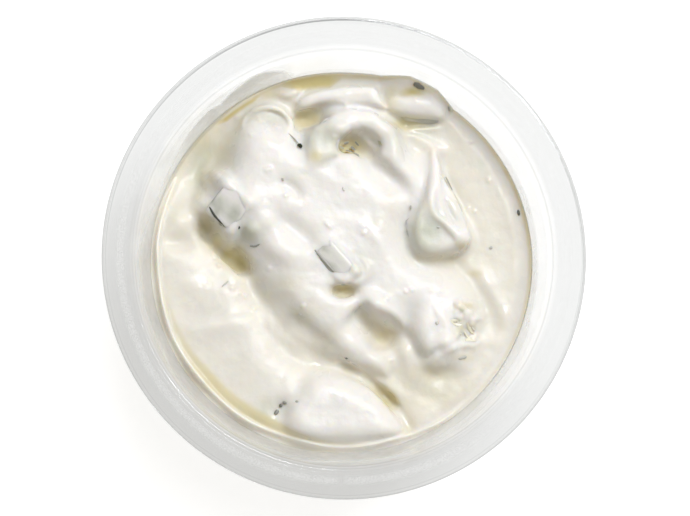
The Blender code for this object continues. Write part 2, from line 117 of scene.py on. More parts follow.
# The low ground between the heap, the left mass and the front lump
VALLEY = Fold([(-36, 13), (-29, 6), (-21, -3), (-15, -10)], -2.4, 6.0, 6.0, 0.1)
FOLDS = {
    "cap_rim": Fold([(-22, 26.5), (-21.5, 30.5), (-16, 33.5), (-11, 31), (-8.5, 26.5)], 0.9, 1.6, 4.5, 0.25),
    "long_trough": Fold([(0.6, 25.0), (5.0, 22.4), (8.8, 18.8), (12.4, 15.6), (14.6, 11.6)], -2.2, 2.8, 5.5, 0.45),
    "slice_shade": Fold([(2.4, 25.0), (6.0, 22.4), (9.2, 19.2)], -1.8, 2.4, 4.6, 0.35),
    "slice_limb": Fold([(0.5, 31), (6.9, 29.7), (9.9, 26.8), (10.9, 23.0), (13.2, 19.7), (16.6, 17.2)],
                       1.3, 2.6, 3.4, 0.25),
    "seed_hollow": Fold([(-1, 24.8), (2, 25), (5.5, 24)], -2.0, 2.6, 2.6, 0.4),
    "slice_tip_dent": Fold([(-8, 23.5), (-6, 22), (-4, 21)], -1.8, 1.6, 1.6, 0.45),
    "behind_slice": Fold([(-8.5, 27), (-6.5, 30.5), (0.5, 33.5)], -3.2, 2.6, 2.6, 0.35),
    "wedge_groove": Fold([(8, 38.5), (9.5, 35), (13, 30.5)], -1.8, 1.8, 1.6, 0.35),
    "shoulder_edge": Fold([(12, 28), (16.5, 26.5), (24, 23)], 0.8, 1.4, 3.6, 0.25),
    "deep_groove": Fold([(-29.2, 11), (-27.8, 7), (-25.2, 4), (-22.2, 1), (-18.4, -3.4)], -4.2, 2.4, 1.8, 0.22),
    "left_lip": Fold([(-31, 11), (-30, 6), (-27.4, 3.4), (-24.5, 0.2), (-20.2, -2.6)], 0.5, 1.2, 5.0, 0.25),
    "crevice": Fold([(-2.5, -19.5), (5.5, -24.5), (13, -32), (15, -36.5)], -1.6, 1.3, 1.4, 0.2),
    "crevice_pool": Fold([(6.6, -25.2), (9.8, -28.2), (12.2, -31.4)], -1.3, 2.0, 2.2, 0.35),
    "scoop": Fold([(2.0, -9.4), (4.7, -12.0), (7.7, -14.7), (10.4, -18.2)], -4.8, 4.0, 7.0, 0.22),
    "scoop_rim": Fold([(2.6, -8.4), (6.6, -8.9), (10.5, -10.4), (12.9, -12.8), (14, -16.4)], 1.2, 3.4, 1.0, 0.25),
    "little_fold_one": Fold([(10, -18.6), (11, -20.4), (10.5, -22.5)], 0.6, 1.4, 1.4, 0.4),
    "little_fold_two": Fold([(12.5, -17.5), (13.5, -20.5), (13, -24)], 0.3, 1.8, 1.8, 0.4),
    "tongue_side": Fold([(14.5, -14), (15, -17.5), (17, -22.5)], -0.5, 2.2, 3.0, 0.35),
    "chunk_side": Fold([(15.2, 14.6), (13.6, 10.4), (13.0, 6.6), (14.0, 2.4), (17.6, -0.6), (22.5, -0.8), (26.4, 1.4)],
                       -2.0, 2.0, 5.0, 0.35),
    "flank_crease": Fold([(-11, -11), (-7, -13.5), (0, -19)], -0.8, 1.0, 3.6, 0.3),
    "heap_dent": Fold([(-16.5, 12), (-8.5, 6), (-5, 3)], -1.2, 3.2, 3.0, 0.3),
    "heap_nick": Fold([(-13.5, 16.5), (-10.5, 15.5), (-8, 13)], -0.9, 1.6, 1.6, 0.35),
    "heap_lobe": Fold([(-18, 4.5), (-12.5, 2), (-6, -1)], 0.9, 3.0, 3.0, 0.4),
    "slope_foot": Fold([(-18.4, -6.4), (-14.4, -11.4), (-9.6, -16.6), (-4, -20.6)], 1.2, 3.0, 3.0, 0.35),
    "left_crease": Fold([(-32.5, -15), (-28.5, -13.5), (-16.5, -11)], 0.7, 1.2, 5.0, 0.25),
    "left_dent": Fold([(-38.5, 4.5), (-34.5, 4.5), (-30, 5)], -1.2, 3.0, 2.6, 0.35),
    "upper_crease": Fold([(-30.7, 24), (-31, 17.2), (-28.8, 13.4)], -0.9, 1.4, 2.6, 0.3),
    "right_ridge": Fold([(25.5, 1.5), (31.5, -5), (36, -14.5)], 0.45, 1.8, 1.6, 0.2),
    "right_groove": Fold([(27, -1.5), (32, -11.5), (32.5, -17.5)], -0.35, 2.4, 2.8, 0.35),
    "under_heap": Fold([(15, -21.8), (20, -23.6), (27, -21.5)], -1.2, 2.2, 3.0, 0.35),
}

# Small folds and streaks of the fine surface only, with the same values
FINE_FOLDS = {
    "leaf_rib": Fold([(20.3, 21.6), (21.0, 16.6), (22.4, 11.4), (24.6, 7.6), (26.0, 6.0)], -1.1, 1.8, 1.6, 0.2),
    "leaf_left": Fold([(19.0, 23), (18.4, 16.3), (18.9, 10.6), (21.6, 7.9), (24.6, 5.2), (26.7, 4.2)], 0.9, 0.8, 1.4, 0.15),
    "leaf_right": Fold([(20.2, 22), (22.2, 16.8), (24.6, 12.0), (26.6, 7)], 0.6, 1.0, 1.4, 0.15),
    "bubble_rim": Fold([(-20.8, 27.4), (-20.6, 30.6), (-18.6, 32.2), (-15.6, 32.8), (-13.0, 32.2), (-11.0, 30.2), (-10.0, 27.4)],
                       1.4, 0.6, 0.7, 0.15),
    "side_ridge": Fold([(-26.6, 25.4), (-28.9, 19.9), (-27.6, 14.8)], 0.6, 1.4, 1.4, 0.3),
    "top_streak": Fold([(-1, 33.5), (4, 32.5), (8, 31.8)], 0.5, 0.6, 1.6, 0.3),
    "streak_right": Fold([(12, 28.0), (17, 26.2), (22, 22.8)], 0.5, 0.6, 1.6, 0.3),
    "tongue_streak": Fold([(17.4, -3.4), (18.4, -8), (19.9, -13.4)], -0.25, 0.9, 1.4, 0.3),
    "slope_streak": Fold([(-13, -3), (-8, -9), (-2, -14)], 0.3, 1.2, 2.0, 0.35),
    "terrace_streak": Fold([(15.5, -32), (19, -33), (24, -31)], 0.4, 0.8, 1.6, 0.35),
    "heap_streak": Fold([(-14, 21), (-6, 19), (2, 15)], 0.3, 1.4, 1.8, 0.35),
    "heap_ripple": Fold([(0, 10), (6, 6), (10, 0)], 0.35, 1.6, 2.0, 0.35),
    "sliver_lip": Fold([(2.2, 0.8), (5.0, -0.6), (4.8, -3.2), (1.9, -4.6), (-0.6, -4.6)], 0.7, 1.4, 2.0, 0.35),
    "groove_deeper": Fold([(-28.4, 8.6), (-26.0, 5.0), (-23.2, 2.0), (-19.8, -1.4)], -2.0, 1.8, 1.8, 0.3),
    "wedge_ridge": Fold([(10.5, 33.2), (14.3, 34.2), (18.4, 33.6), (21.6, 31.4)], 1.6, 1.6, 3.6, 0.25),
    "wedge_line": Fold([(10.2, 29.6), (15.2, 29.8), (21.6, 30.0)], -1.6, 1.2, 0.9, 0.25),
    "wedge_slab": Fold([(12.5, 28.9), (17.2, 28.7), (22.2, 28.9)], 0.8, 0.7, 1.2, 0.25),
}
# Rounded lumps and dents that lie over everything: middle, reach along X and Y, height
LATE_MOUNDS = [(-6.0, 30.2, 2.6, 1.6, -3.8), (1.4, 24.2, 2.8, 1.6, -1.8), (5.0, 23.8, 3.0, 2.4, -1.5), (0.4, 27.4, 2.4, 1.2, 0.8),
               (0.2, -6.3, 2.4, 1.1, -1.6), (24.4, -22.8, 1.8, 1.0, 0.5),
               (-15.2, 28.4, 4.2, 3.0, -0.7), (-19.0, 6.2, 1.8, 1.6, 0.6), (15.6, 33.4, 3.6, 1.4, 0.5)]
# Tiny bubbles and drops that catch the light: where they are
BUBBLES = [(-17.6, 29.8), (-16.9, 29.4), (-14.3, 28.5), (-13.6, 28.1), (-19.1, 26.2), (-22.3, 30.8), (-21.6, 31.3),
           (-16.0, 18.6), (-15.2, 18.9), (-27.1, 1.4), (-26.6, 0.7), (-25.8, -0.9), (-23.1, -5.7), (-20.4, -7.2),
           (-21.4, -6.6), (-18.6, -10.0), (0.6, 32.9), (7.1, 30.8), (-2.7, 6.9), (-3.4, 7.5), (-1.9, 25.8),
           (27.5, 25.8), (26.7, 11.5), (28.0, 10.9), (20.6, 17.6), (4.4, 5.6), (13.2, -6.6), (14.3, -6.2),
           (9.2, -8.0), (29.2, -10.4), (10.4, -20.6), (-8.2, -9.6), (-12.0, 13.4), (24.2, 1.2), (15.2, 34.0),
           (-9.6, 33.6), (31.0, 17.4), (-15.4, -1.8)]
# Places where the dip keeps sharp edges: middle, reach along X and Y. Elsewhere it has slumped smooth.
CRISP_SPOTS = [(10, -11, 4.5, 4.5), (3, 26, 9, 5.5), (23, 13, 4.5, 11), (14.5, 7, 2.5, 7), (-24, 10, 5.5, 6), (0, -2, 5.5, 5.5),
               (16, 32, 7, 4.5), (19, -16, 6, 5), (9, -27, 4, 4), (1, -20, 4, 3), (-25, 4, 4, 5), (26, -13, 4, 6), (-19, 5, 3.5, 3.5), (-26, 20, 4, 7),
               (-15.5, 30, 8, 5), (-11.5, 36.5, 4, 2.5), (5, 33, 6, 3)]
# Rounded lumps and dents: middle, reach along X and Y, height
MOUNDS = [(13.4, -17.8, 2.4, 3.0, 1.5), (-19.2, 12.6, 2.6, 2.2, 0.9), (-19.6, 6.6, 2.6, 2.6, 1.2), (-15.5, 9.0, 2.2, 2.0, 0.7),
          (0.2, -6.3, 2.2, 1.0, -2.6), (-12.5, 16.6, 1.4, 0.9, -0.5), (-9.6, 24.6, 1.0, 1.0, -0.8),
          (-15.6, 31.6, 2.4, 1.0, 0.5), (-11.0, 27.5, 1.2, 2.6, 0.4), (9.6, 35.0, 1.6, 2.6, 1.0),
          (12.6, 36.4, 1.4, 1.6, 0.8), (25.4, 3.0, 1.0, 1.6, 0.5), (-29.0, 22.0, 4.0, 6.5, -2.6), (-25.2, 22.4, 4.8, 5.8, -4.2), (-28.8, 24.8, 1.6, 2.4, -0.7),
          (22.0, -17.0, 2.4, 1.6, 0.9), (26.0, -18.6, 1.6, 0.9, -0.8), (-12.8, -30.4, 1.4, 2.0, -0.9),
          (9.6, -20.8, 1.2, 2.0, 0.5), (30.5, -3.5, 1.8, 3.0, 0.4), (6.0, -14.0, 3.0, 2.0, -0.5)]

# Whey lies in a band along the wall: at each bearing in degrees, how wide it is, how far it lies from
# the wall and how strong its colour is.
WHEY_BAND = [(0, 0.7, 0.0, 0.45), (35, 0.7, 0.0, 0.45), (55, 0.5, 0.0, 0.25), (72, 0.5, 0.0, 0.25),
             (78, 1.0, 0.1, 0.4), (90, 1.2, 0.2, 0.45), (94, 2.8, 0.3, 1.0), (105, 2.6, 0.2, 1.0),
             (109, 0.7, 0.2, 0.4), (116, 0.5, 0.5, 0.5), (119, 0.8, 0.7, 0.9), (129, 0.9, 0.7, 1.0), (132, 0.5, 0.5, 0.15),
             (145, 0.6, 0.4, 0.1), (172, 0.4, 1.4, 0.05), (190, 0.8, 1.8, 0.15), (205, 1.5, 1.9, 0.3),
             (222, 2.4, 1.9, 0.6), (245, 2.4, 1.9, 0.65), (258, 1.4, 1.8, 0.45), (268, 0.8, 1.4, 0.2),
             (285, 0.6, 0.9, 0.15), (320, 0.6, 0.3, 0.15), (345, 0.7, 0.0, 0.3)]
# Where whey and pulp colour the dip elsewhere, and spots of painted shade on the slope that faces away from the lamps,
# by the wall at the upper left and under the tongue: middle, reach along X and Y, how strongly
WHEY_AND_SHADE_SPOTS = [(14.6, 35.1, 2.6, 1.0, 1.0), (14.2, 29.4, 4.2, 1.1, 0.7), (10.6, 34.6, 1.3, 2.6, 0.45), (1.4, 23.8, 2.6, 1.5, 0.85), (-5.6, 21.6, 1.6, 1.3, 0.6),
              (-11.3, -5.7, 3.2, 3.4, 0.18), (-7.6, -11.0, 3.2, 3.4, 0.18), (-3.4, -16.4, 3.6, 3.0, 0.18), (0.2, -6.3, 2.4, 1.0, 0.8),
              (9.8, -28.8, 1.8, 1.8, 0.7), (-28.6, 7.2, 1.6, 2.8, 0.5), (-26.4, 4.2, 2.0, 2.4, 0.65), (-23.6, 1.2, 2.2, 2.2, 0.75), (-27.0, 23.2, 4.2, 5.0, 0.18), (18.8, -23.6, 5.5, 2.6, 0.26), (20.0, -28.6, 9.0, 4.0, 0.16), (-28.8, 24.8, 1.8, 2.6, 0.25), (-30.2, 19.0, 1.6, 4.0, 0.16), (20.0, 0.6, 5.0, 1.2, 0.4), (24.8, 3.4, 1.4, 0.8, 0.6), (28.0, -2.4, 1.6, 0.8, 0.4),
              (10.4, 33.6, 1.6, 3.4, 0.35), (26.0, -9.4, 2.0, 0.9, 0.5), (24.6, -13.8, 1.0, 2.0, 0.5), (27.0, -13.4, 1.6, 0.7, 0.35),
              (25.6, -20.2, 1.8, 0.8, 0.4), (9.6, 11.0, 2.0, 5.0, 0.15), (14.0, -35.0, 1.4, 1.4, 0.4), (-15.4, 35.6, 2.6, 1.0, 0.4)]
# The ridge of dip left standing along the wall: bearing, height, and how far it is from the wall
WALL_RIDGE = [(0, 0.0, 0.8), (150, 0.0, 1.0), (165, 1.0, 1.3), (180, 1.8, 1.5), (225, 1.7, 1.5), (250, 1.0, 1.4),
              (285, 1.1, 1.1), (300, 0.9, 0.9), (315, 0.1, 0.8)]
# Where the dip falls away to the wall: bearing, how wide the fall is, how much lower it lies there
WALL_FALL = [(0, 2.8, 0.0), (105, 3.0, 0.0), (120, 4.2, 0.6), (133, 9.0, 2.6), (152, 9.0, 2.8), (165, 4.5, 0.9),
             (178, 2.8, 0.0)]
# Where the dip stands higher against the wall: bearing, and by how much
WALL_CLIMB = [(0, 0.0), (54, 0.0), (61, 4.0), (70, 4.5), (78, 0.6), (86, 0.0)]
# The relief is set a little off, so that it lies as it should under the pot's rim
RELIEF_SHIFT = (0.17, 0.38)


# ---------------------------------------------------------------- small helpers

def new_piece(name, shape, finish, replaced=()):
    """A piece from a bmesh in millimetres, riding on the pot's body."""
    bmesh.ops.scale(shape, vec=(MM, MM, MM), verts=shape.verts)
    mesh = bpy.data.meshes.new(name)
    shape.to_mesh(mesh)
    shape.free()
    mesh.shade_smooth()
    mesh.materials.append(finish)
    piece = bpy.data.objects.new(name, mesh)
    bpy.context.scene.collection.objects.link(piece)
    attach(piece, "root")
    if replaced:
        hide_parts(*replaced)
    return piece


def set_attribute(piece, name, values):
    """A number for each point of a piece, for its material to read."""
    layer = piece.data.attributes.new(name, "FLOAT", "POINT")
    layer.data.foreach_set("value", np.asarray(values, np.float32))


def points_of(mesh):
    """The points of a mesh, in millimetres."""
    flat = np.empty(len(mesh.vertices) * 3, np.float32)
    mesh.vertices.foreach_get("co", flat)
    return flat.reshape(-1, 3).astype(float) / MM


def turned(profile, segments):
    """A shape turned about Z from (radius, height) points; its rings are extruded from each other."""
    shape = bmesh.new()
    rings = [point for point in profile if point[0] > 0]
    radius, height = rings[0]
    first = bmesh.ops.create_circle(shape, segments=segments, radius=radius)["verts"]
    bmesh.ops.translate(shape, vec=(0, 0, height), verts=first)
    edges = first_edges = shape.edges[:]
    for radius, height in rings[1:]:
        edges, corners = next_ring(shape, edges)
        for corner in corners:
            out = Vector((corner.co.x, corner.co.y, 0)).normalized()
            corner.co = (out.x * radius, out.y * radius, height)
    for end, pole in ((first_edges, profile[0]), (edges, profile[-1])):
        if pole[0] == 0:
            corners = next_ring(shape, end)[1]
            bmesh.ops.pointmerge(shape, verts=corners, merge_co=(0, 0, pole[1]))
    bmesh.ops.recalc_face_normals(shape, faces=shape.faces)
    return shape


def next_ring(shape, edges):
    """A ring of edges extruded once: the new ring's edges and corners."""
    made = bmesh.ops.extrude_edge_only(shape, edges=edges)["geom"]
    corners = [item for item in made if isinstance(item, bmesh.types.BMVert)]
    known = set(corners)
    ring = [item for item in made if isinstance(item, bmesh.types.BMEdge) and known.issuperset(item.verts)]
    return ring, corners


def arc(middle, radius, start, end, steps=5):
    """Points on an arc, with its bearings in degrees, 0 outwards and 90 up."""
    turns = [math.radians(start + (end - start) * k / steps) for k in range(steps + 1)]
    return [(middle[0] + radius * math.cos(t), middle[1] + radius * math.sin(t)) for t in turns]


# ---------------------------------------------------------------- the dip's relief

def smooth_line(points, closed=False, steps=5):
    """Points along a smooth curve through a few given ones."""
    p = np.array(points, float)
    if closed:
        p = np.vstack([p[-1], p, p[0], p[1]])
    else:
        p = np.vstack([2 * p[0] - p[1], p, 2 * p[-1] - p[-2]])
    t = np.arange(steps)[:, None] / steps
    spans = []
    for a, b, c, d in zip(p, p[1:], p[2:], p[3:]):
        spans.append(0.5 * (2 * b + (c - a) * t + (2 * a - 5 * b + 4 * c - d) * t ** 2
                            + (3 * b - a - 3 * c + d) * t ** 3))
    return np.vstack(spans + [p[-2:-1]])


def nearest(x, y, line):
    """The distance to a line, +1 on its left and -1 on its right, and the share of the way along."""
    best = np.full(x.shape, np.inf)
    side = np.ones(x.shape)
    share = np.zeros(x.shape)
    spans = len(line) - 1
    for k in range(spans):
        (ax, ay), (dx, dy) = line[k], line[k + 1] - line[k]
        t = np.clip(((x - ax) * dx + (y - ay) * dy) / (dx * dx + dy * dy), 0, 1)
        ex, ey = x - ax - t * dx, y - ay - t * dy
        away = np.hypot(ex, ey)
        nearer = away < best
        best = np.where(nearer, away, best)
        side = np.where(nearer, np.where(dx * ey >= dy * ex, 1.0, -1.0), side)
        share = np.where(nearer, (k + t) / spans, share)
    return best, side, share


def is_inside(x, y, line):
    """Whether points lie inside a closed line."""
    odd = np.zeros(x.shape, bool)
    for (ax, ay), (bx, by) in zip(line, line[1:]):
        if ay != by:
            crosses = (ay > y) != (by > y)
            odd ^= crosses & (x < ax + (y - ay) * (bx - ax) / (by - ay))
    return odd


def ease(t):
    t = np.clip(t, 0, 1)
    return t * t * (3 - 2 * t)


def higher_of(a, b, blend):
    """The higher of two surfaces, with a fillet where they meet."""
    near = np.maximum(blend - np.abs(a - b), 0) / blend
    return np.maximum(a, b) + near ** 2 * blend / 4


def close_to(x, y, line, reach):
    """Which points lie in the box round a line, grown by a reach."""
    (x0, y0), (x1, y1) = line.min(axis=0) - reach, line.max(axis=0) + reach
    return (x > x0) & (x < x1) & (y > y0) & (y < y1)


def spoonful_height(x, y, spoonful):
    line = smooth_line(spoonful.outline, closed=True)
    height = np.full(x.shape, -20.0)
    near = close_to(x, y, line, 2.5)
    x, y = x[near], y[near]
    away = nearest(x, y, line)[0]
    depth = np.where(is_inside(x, y, line), away, -away)
    middle = line[:-1].mean(axis=0)
    top = spoonful.top + spoonful.slope[0] * (x - middle[0]) + spoonful.slope[1] * (y - middle[1])
    flank = np.clip(depth / spoonful.flank, 0, 1)
    rise = spoonful.foot + (top - spoonful.foot) * (1 - (1 - flank) ** spoonful.fullness)
    height[near] = np.where(depth < 0, spoonful.foot + 3 * depth, rise)
    return height


def fold_height(x, y, fold):
    line = smooth_line(fold.line)
    height = np.zeros(x.shape)
    near = close_to(x, y, line, max(fold.left, fold.right))
    away, side, share = nearest(x[near], y[near], line)
    width = np.where(side > 0, fold.left, fold.right)
    t = np.clip(away / width, 0, 1)
    straight = (1 - t) ** 1.5
    rounded = (1 - t * t) ** 2
    section = np.where(width > min(fold.left, fold.right), straight, rounded)
    height[near] = fold.height * section * ease(np.minimum(share, 1 - share) / fold.fade)
    return height


def wall_radius(height):
    """The inside radius of the body wall at a height."""
    shoulder = POT_HEIGHT - COLLAR_HEIGHT - STEP_HEIGHT
    return SHOULDER_RADIUS - (shoulder - height) * math.tan(WALL_TAPER)


FILL_EDGE = wall_radius(FILL_HEIGHT)


def around(bearing, table, column):
    """A value of a table by bearing, read round the full circle."""
    angles = np.array([row[0] for row in table], float)
    values = np.array([row[column] for row in table], float)
    angles = np.concatenate([angles - 360, angles, angles + 360])
    return np.interp(np.mod(bearing, 360), angles, np.tile(values, 3))


def shred_folds():
    """The short raised strokes that grated cucumber makes in the dip."""
    rng = random.Random(SEED + 5)
    folds = []
    for _ in range(30):
        x, y, turn, half = rng.uniform(23.8, 30.2), rng.uniform(-17.5, -7.8), rng.uniform(0, 3.2), rng.uniform(0.8, 1.8)
        dx, dy, bend = math.cos(turn) * half, math.sin(turn) * half, rng.uniform(-0.35, 0.35)
        folds.append(Fold([(x - dx, y - dy), (x - dy * bend, y + dx * bend), (x + dx, y + dy)],
                          rng.uniform(0.35, 0.7), 0.55, 0.6, 0.3))
    return folds


def relief(x, y):
    """The height of the dip's top over the fill line at points x, y, without the cucumber."""
    x, y = x + RELIEF_SHIFT[0], y + RELIEF_SHIFT[1]
    reach = np.hypot(x, y)
    z = 0.4 + 0.07 * (reach - 30)
    z = z - 2.0 * np.exp(-(((x + 28) / 7) ** 2 + ((y - 18) / 13) ** 2))
    z = z + fold_height(x, y, VALLEY)
    for spoonful in SPOONFULS.values():
        z = higher_of(z, spoonful_height(x, y, spoonful), BLEND)
    for fold in (*FOLDS.values(), *FINE_FOLDS.values(), *shred_folds()):
        z = z + fold_height(x, y, fold)
    for mx, my, rx, ry, height in MOUNDS:
        z = z + height * np.exp(-((x - mx) / rx) ** 2 - ((y - my) / ry) ** 2)
    return z


GRID_STEP = 0.25
GRID_HALF = 42.0
SKIRT_SLOPE = 1.5       # how steeply the dip falls away from a piece of cucumber
FILM = 0.35             # how thick the dip lies on a covered piece


class Ground:
    """The dip's top on a square grid, with the cucumber sunk in it, to be read anywhere."""

    def __init__(self, shapes):
        self.line = np.arange(-GRID_HALF, GRID_HALF + GRID_STEP / 2, GRID_STEP)
        x, y = np.meshgrid(self.line, self.line)
        reach = np.hypot(x, y)
        bearing = np.degrees(np.arctan2(y, x))
        fall = around(bearing, WALL_FALL, 1)
        fade = ease((FILL_EDGE - 0.3 - reach) / fall)
        height = relief(x, y) * fade - around(bearing, WALL_FALL, 2) * np.exp(-((FILL_EDGE - 2.0 - reach) / 3.0) ** 2)
        for name, shape in shapes.items():
            top = self.top_of(shape, x, y)
            gap = np.full(x.shape, -FILM)
            for bx, by, radius, depth in PIECES[name].bare:
                gap += depth * np.exp(-((x - bx) ** 2 + (y - by) ** 2) / radius ** 2)
            height = higher_of(height, np.minimum(top - FILL_HEIGHT - gap, 8.0) - 3 * (1 - fade), 1.2)
        for mx, my, rx, ry, rise in LATE_MOUNDS:
            height = height + rise * np.exp(-((x - mx) / rx) ** 2 - ((y - my) / ry) ** 2)
        crisp = np.zeros(x.shape)
        for mx, my, rx, ry in CRISP_SPOTS:
            crisp = np.maximum(crisp, np.exp(-(((x - mx) / rx) ** 2 + ((y - my) / ry) ** 2) ** 2))
        height, soft = blurred(height, 1), blurred(height, 4)
        self.height = soft + (0.2 + 0.8 * crisp) * (height - soft)
        self.wet = sum(np.exp(-((x - bx) ** 2 + (y - by) ** 2) / 0.2) for bx, by in BUBBLES)
        self.height += 0.24 * self.wet
        self.seen = self.height
        for shape in shapes.values():
            self.seen = np.maximum(self.seen, self.top_of(shape, x, y, 0) - FILL_HEIGHT)
        self.level = blurred(self.height, 9)
        self.slope_y, self.slope_x = np.gradient(self.height, GRID_STEP)

    def top_of(self, shape, x, y, skirt=14):
        """How high a shape reaches at each point, falling away round it over some grid steps."""
        tree = BVHTree.FromBMesh(shape)
        top = np.full(x.shape, -50.0)
        for row, column in np.argwhere(self.near(shape, x, y)):
            hit = tree.ray_cast(Vector((x[row, column], y[row, column], 60)), Vector((0, 0, -1)))[0]
            if hit:
                top[row, column] = hit.z
        for _ in range(skirt):
            around_it = [np.roll(top, move, axis) for move in (1, -1) for axis in (0, 1)]
            top = np.maximum(top, np.max(around_it, axis=0) - SKIRT_SLOPE * GRID_STEP)
            corners = [np.roll(np.roll(top, a, 0), b, 1) for a in (1, -1) for b in (1, -1)]
            top = np.maximum(top, np.max(corners, axis=0) - SKIRT_SLOPE * GRID_STEP * 1.4)
        return top

    def near(self, shape, x, y):
        xs, ys = [v.co.x for v in shape.verts], [v.co.y for v in shape.verts]
        return (x > min(xs)) & (x < max(xs)) & (y > min(ys)) & (y < max(ys))

    def read(self, field, x, y):
        """A field of the grid at points x, y."""
        last = len(self.line) - 1.001
        fx = np.clip((np.asarray(x) + GRID_HALF) / GRID_STEP, 0, last)
        fy = np.clip((np.asarray(y) + GRID_HALF) / GRID_STEP, 0, last)
        ix, iy = fx.astype(int), fy.astype(int)
        tx, ty = fx - ix, fy - iy
        low = field[iy, ix] * (1 - tx) + field[iy, ix + 1] * tx
        high = field[iy + 1, ix] * (1 - tx) + field[iy + 1, ix + 1] * tx
        return low * (1 - ty) + high * ty


def blurred(field, reach):
    """A field averaged over a square a few grid steps wide, twice."""
    for _ in range(2):
        for axis in (0, 1):
            padded = np.concatenate([np.repeat(np.take(field, [0], axis), reach, axis), field,
                                     np.repeat(np.take(field, [-1], axis), reach, axis)], axis)
            total = np.cumsum(np.insert(padded, 0, 0, axis=axis), axis=axis)
            width = 2 * reach + 1
            count = field.shape[axis]
            upper = np.take(total, range(width, width + count), axis)
            lower = np.take(total, range(0, count), axis)
            field = (upper - lower) / width
    return field


# ---------------------------------------------------------------- finishes

def new_finish(name):
    finish = bpy.data.materials.new(name)
    finish.use_nodes = True
    nodes = finish.node_tree.nodes
    return finish, nodes, finish.node_tree.links, nodes["Principled BSDF"]


def attribute_node(nodes, name):
    node = nodes.new("ShaderNodeAttribute")
    node.attribute_name = name
    return node.outputs["Fac"]


def noise_node(nodes, links, scale, detail=3.0, roughness=0.5):
    """A noise over the object's own coordinates; its scale is in waves to the metre."""
    place = nodes.new("ShaderNodeTexCoord")
    node = nodes.new("ShaderNodeTexNoise")
    node.inputs["Scale"].default_value = scale
    node.inputs["Detail"].default_value = detail
    node.inputs["Roughness"].default_value = roughness
    links.new(place.outputs["Object"], node.inputs["Vector"])
    return node.outputs["Fac"]


def range_node(nodes, links, value, from_range, to_range):
    node = nodes.new("ShaderNodeMapRange")
    node.inputs["From Min"].default_value, node.inputs["From Max"].default_value = from_range
    node.inputs["To Min"].default_value, node.inputs["To Max"].default_value = to_range
    links.new(value, node.inputs["Value"])
    return node.outputs["Result"]


def mix_node(nodes, links, factor, first, second):
    """A colour between two; each is a colour or another node's output."""
    node = nodes.new("ShaderNodeMix")
    node.data_type = "RGBA"
    if isinstance(factor, float):
        node.inputs["Factor"].default_value = factor
    else:
        links.new(factor, node.inputs["Factor"])
    for socket, value in ((node.inputs["A"], first), (node.inputs["B"], second)):
        if isinstance(value, tuple):
            socket.default_value = (*value, 1.0)
        else:
            links.new(value, socket)
    return node.outputs["Result"]


def times_node(nodes, links, a, b, operation="MULTIPLY"):
    node = nodes.new("ShaderNodeMath")
    node.operation = operation
    node.use_clamp = True
    for socket, value in zip(node.inputs, (a, b)):
        if isinstance(value, float):
            socket.default_value = value
        else:
            links.new(value, socket)
    return node.outputs["Value"]


def bump_node(nodes, links, height, strength, distance, after=None):
    node = nodes.new("ShaderNodeBump")
    node.inputs["Strength"].default_value = strength
    node.inputs["Distance"].default_value = distance
    links.new(height, node.inputs["Height"])
    if after is not None:
        links.new(after, node.inputs["Normal"])
    return node.outputs["Normal"]


CREAM = (0.80, 0.78, 0.755)
# the second cream is painted shade: the colour the dip is given where it lies low
SHADED_CREAM = (0.765, 0.73, 0.645)
# this yellow is whey, and also painted shade in the grooves and in some spots
WHEY_AND_SHADE = (0.64, 0.555, 0.28)
# this grey-green is cucumber seen through the dip, and painted shade in some spots
UNDER_FILM_AND_SHADE = (0.54, 0.55, 0.46)


def dip_finish():
    """Thick yoghurt: ivory, soft inside, glossy; painted shade makes it beige in the low places, yellow whey and
    painted shade tint its grooves, and cucumber under the skin and painted shade grey it in spots.
    """
    finish, nodes, links, shader = new_finish("tzatziki")
    cream = mix_node(nodes, links, attribute_node(nodes, "low"), CREAM, SHADED_CREAM)
    tinted = mix_node(nodes, links, attribute_node(nodes, "under_film_and_shade"), cream, UNDER_FILM_AND_SHADE)
    whey_and_shade = attribute_node(nodes, "whey_and_shade")
    links.new(mix_node(nodes, links, whey_and_shade, tinted, WHEY_AND_SHADE), shader.inputs["Base Color"])
    shader.inputs["Subsurface Weight"].default_value = 0.7
    shader.inputs["Subsurface Radius"].default_value = (1.0, 0.75, 0.45)
    shader.inputs["Subsurface Scale"].default_value = 0.0018
    shader.inputs["IOR"].default_value = 1.36
    satin = range_node(nodes, links, noise_node(nodes, links, 190.0, 2.0), (0.52, 0.68), (0.38, 0.13))
    wet = range_node(nodes, links, whey_and_shade, (0.0, 0.7), (1.0, 0.5))
    bubbles = range_node(nodes, links, attribute_node(nodes, "wet"), (0.0, 1.0), (1.0, 0.35))
    smooth = times_node(nodes, links, satin, wet)
    links.new(times_node(nodes, links, smooth, bubbles), shader.inputs["Roughness"])
    fine = bump_node(nodes, links, noise_node(nodes, links, 900.0, 4.0), 0.16, 0.0002)
    links.new(bump_node(nodes, links, noise_node(nodes, links, 260.0, 3.0), 0.3, 0.0006, fine),
              shader.inputs["Normal"])
    return finish


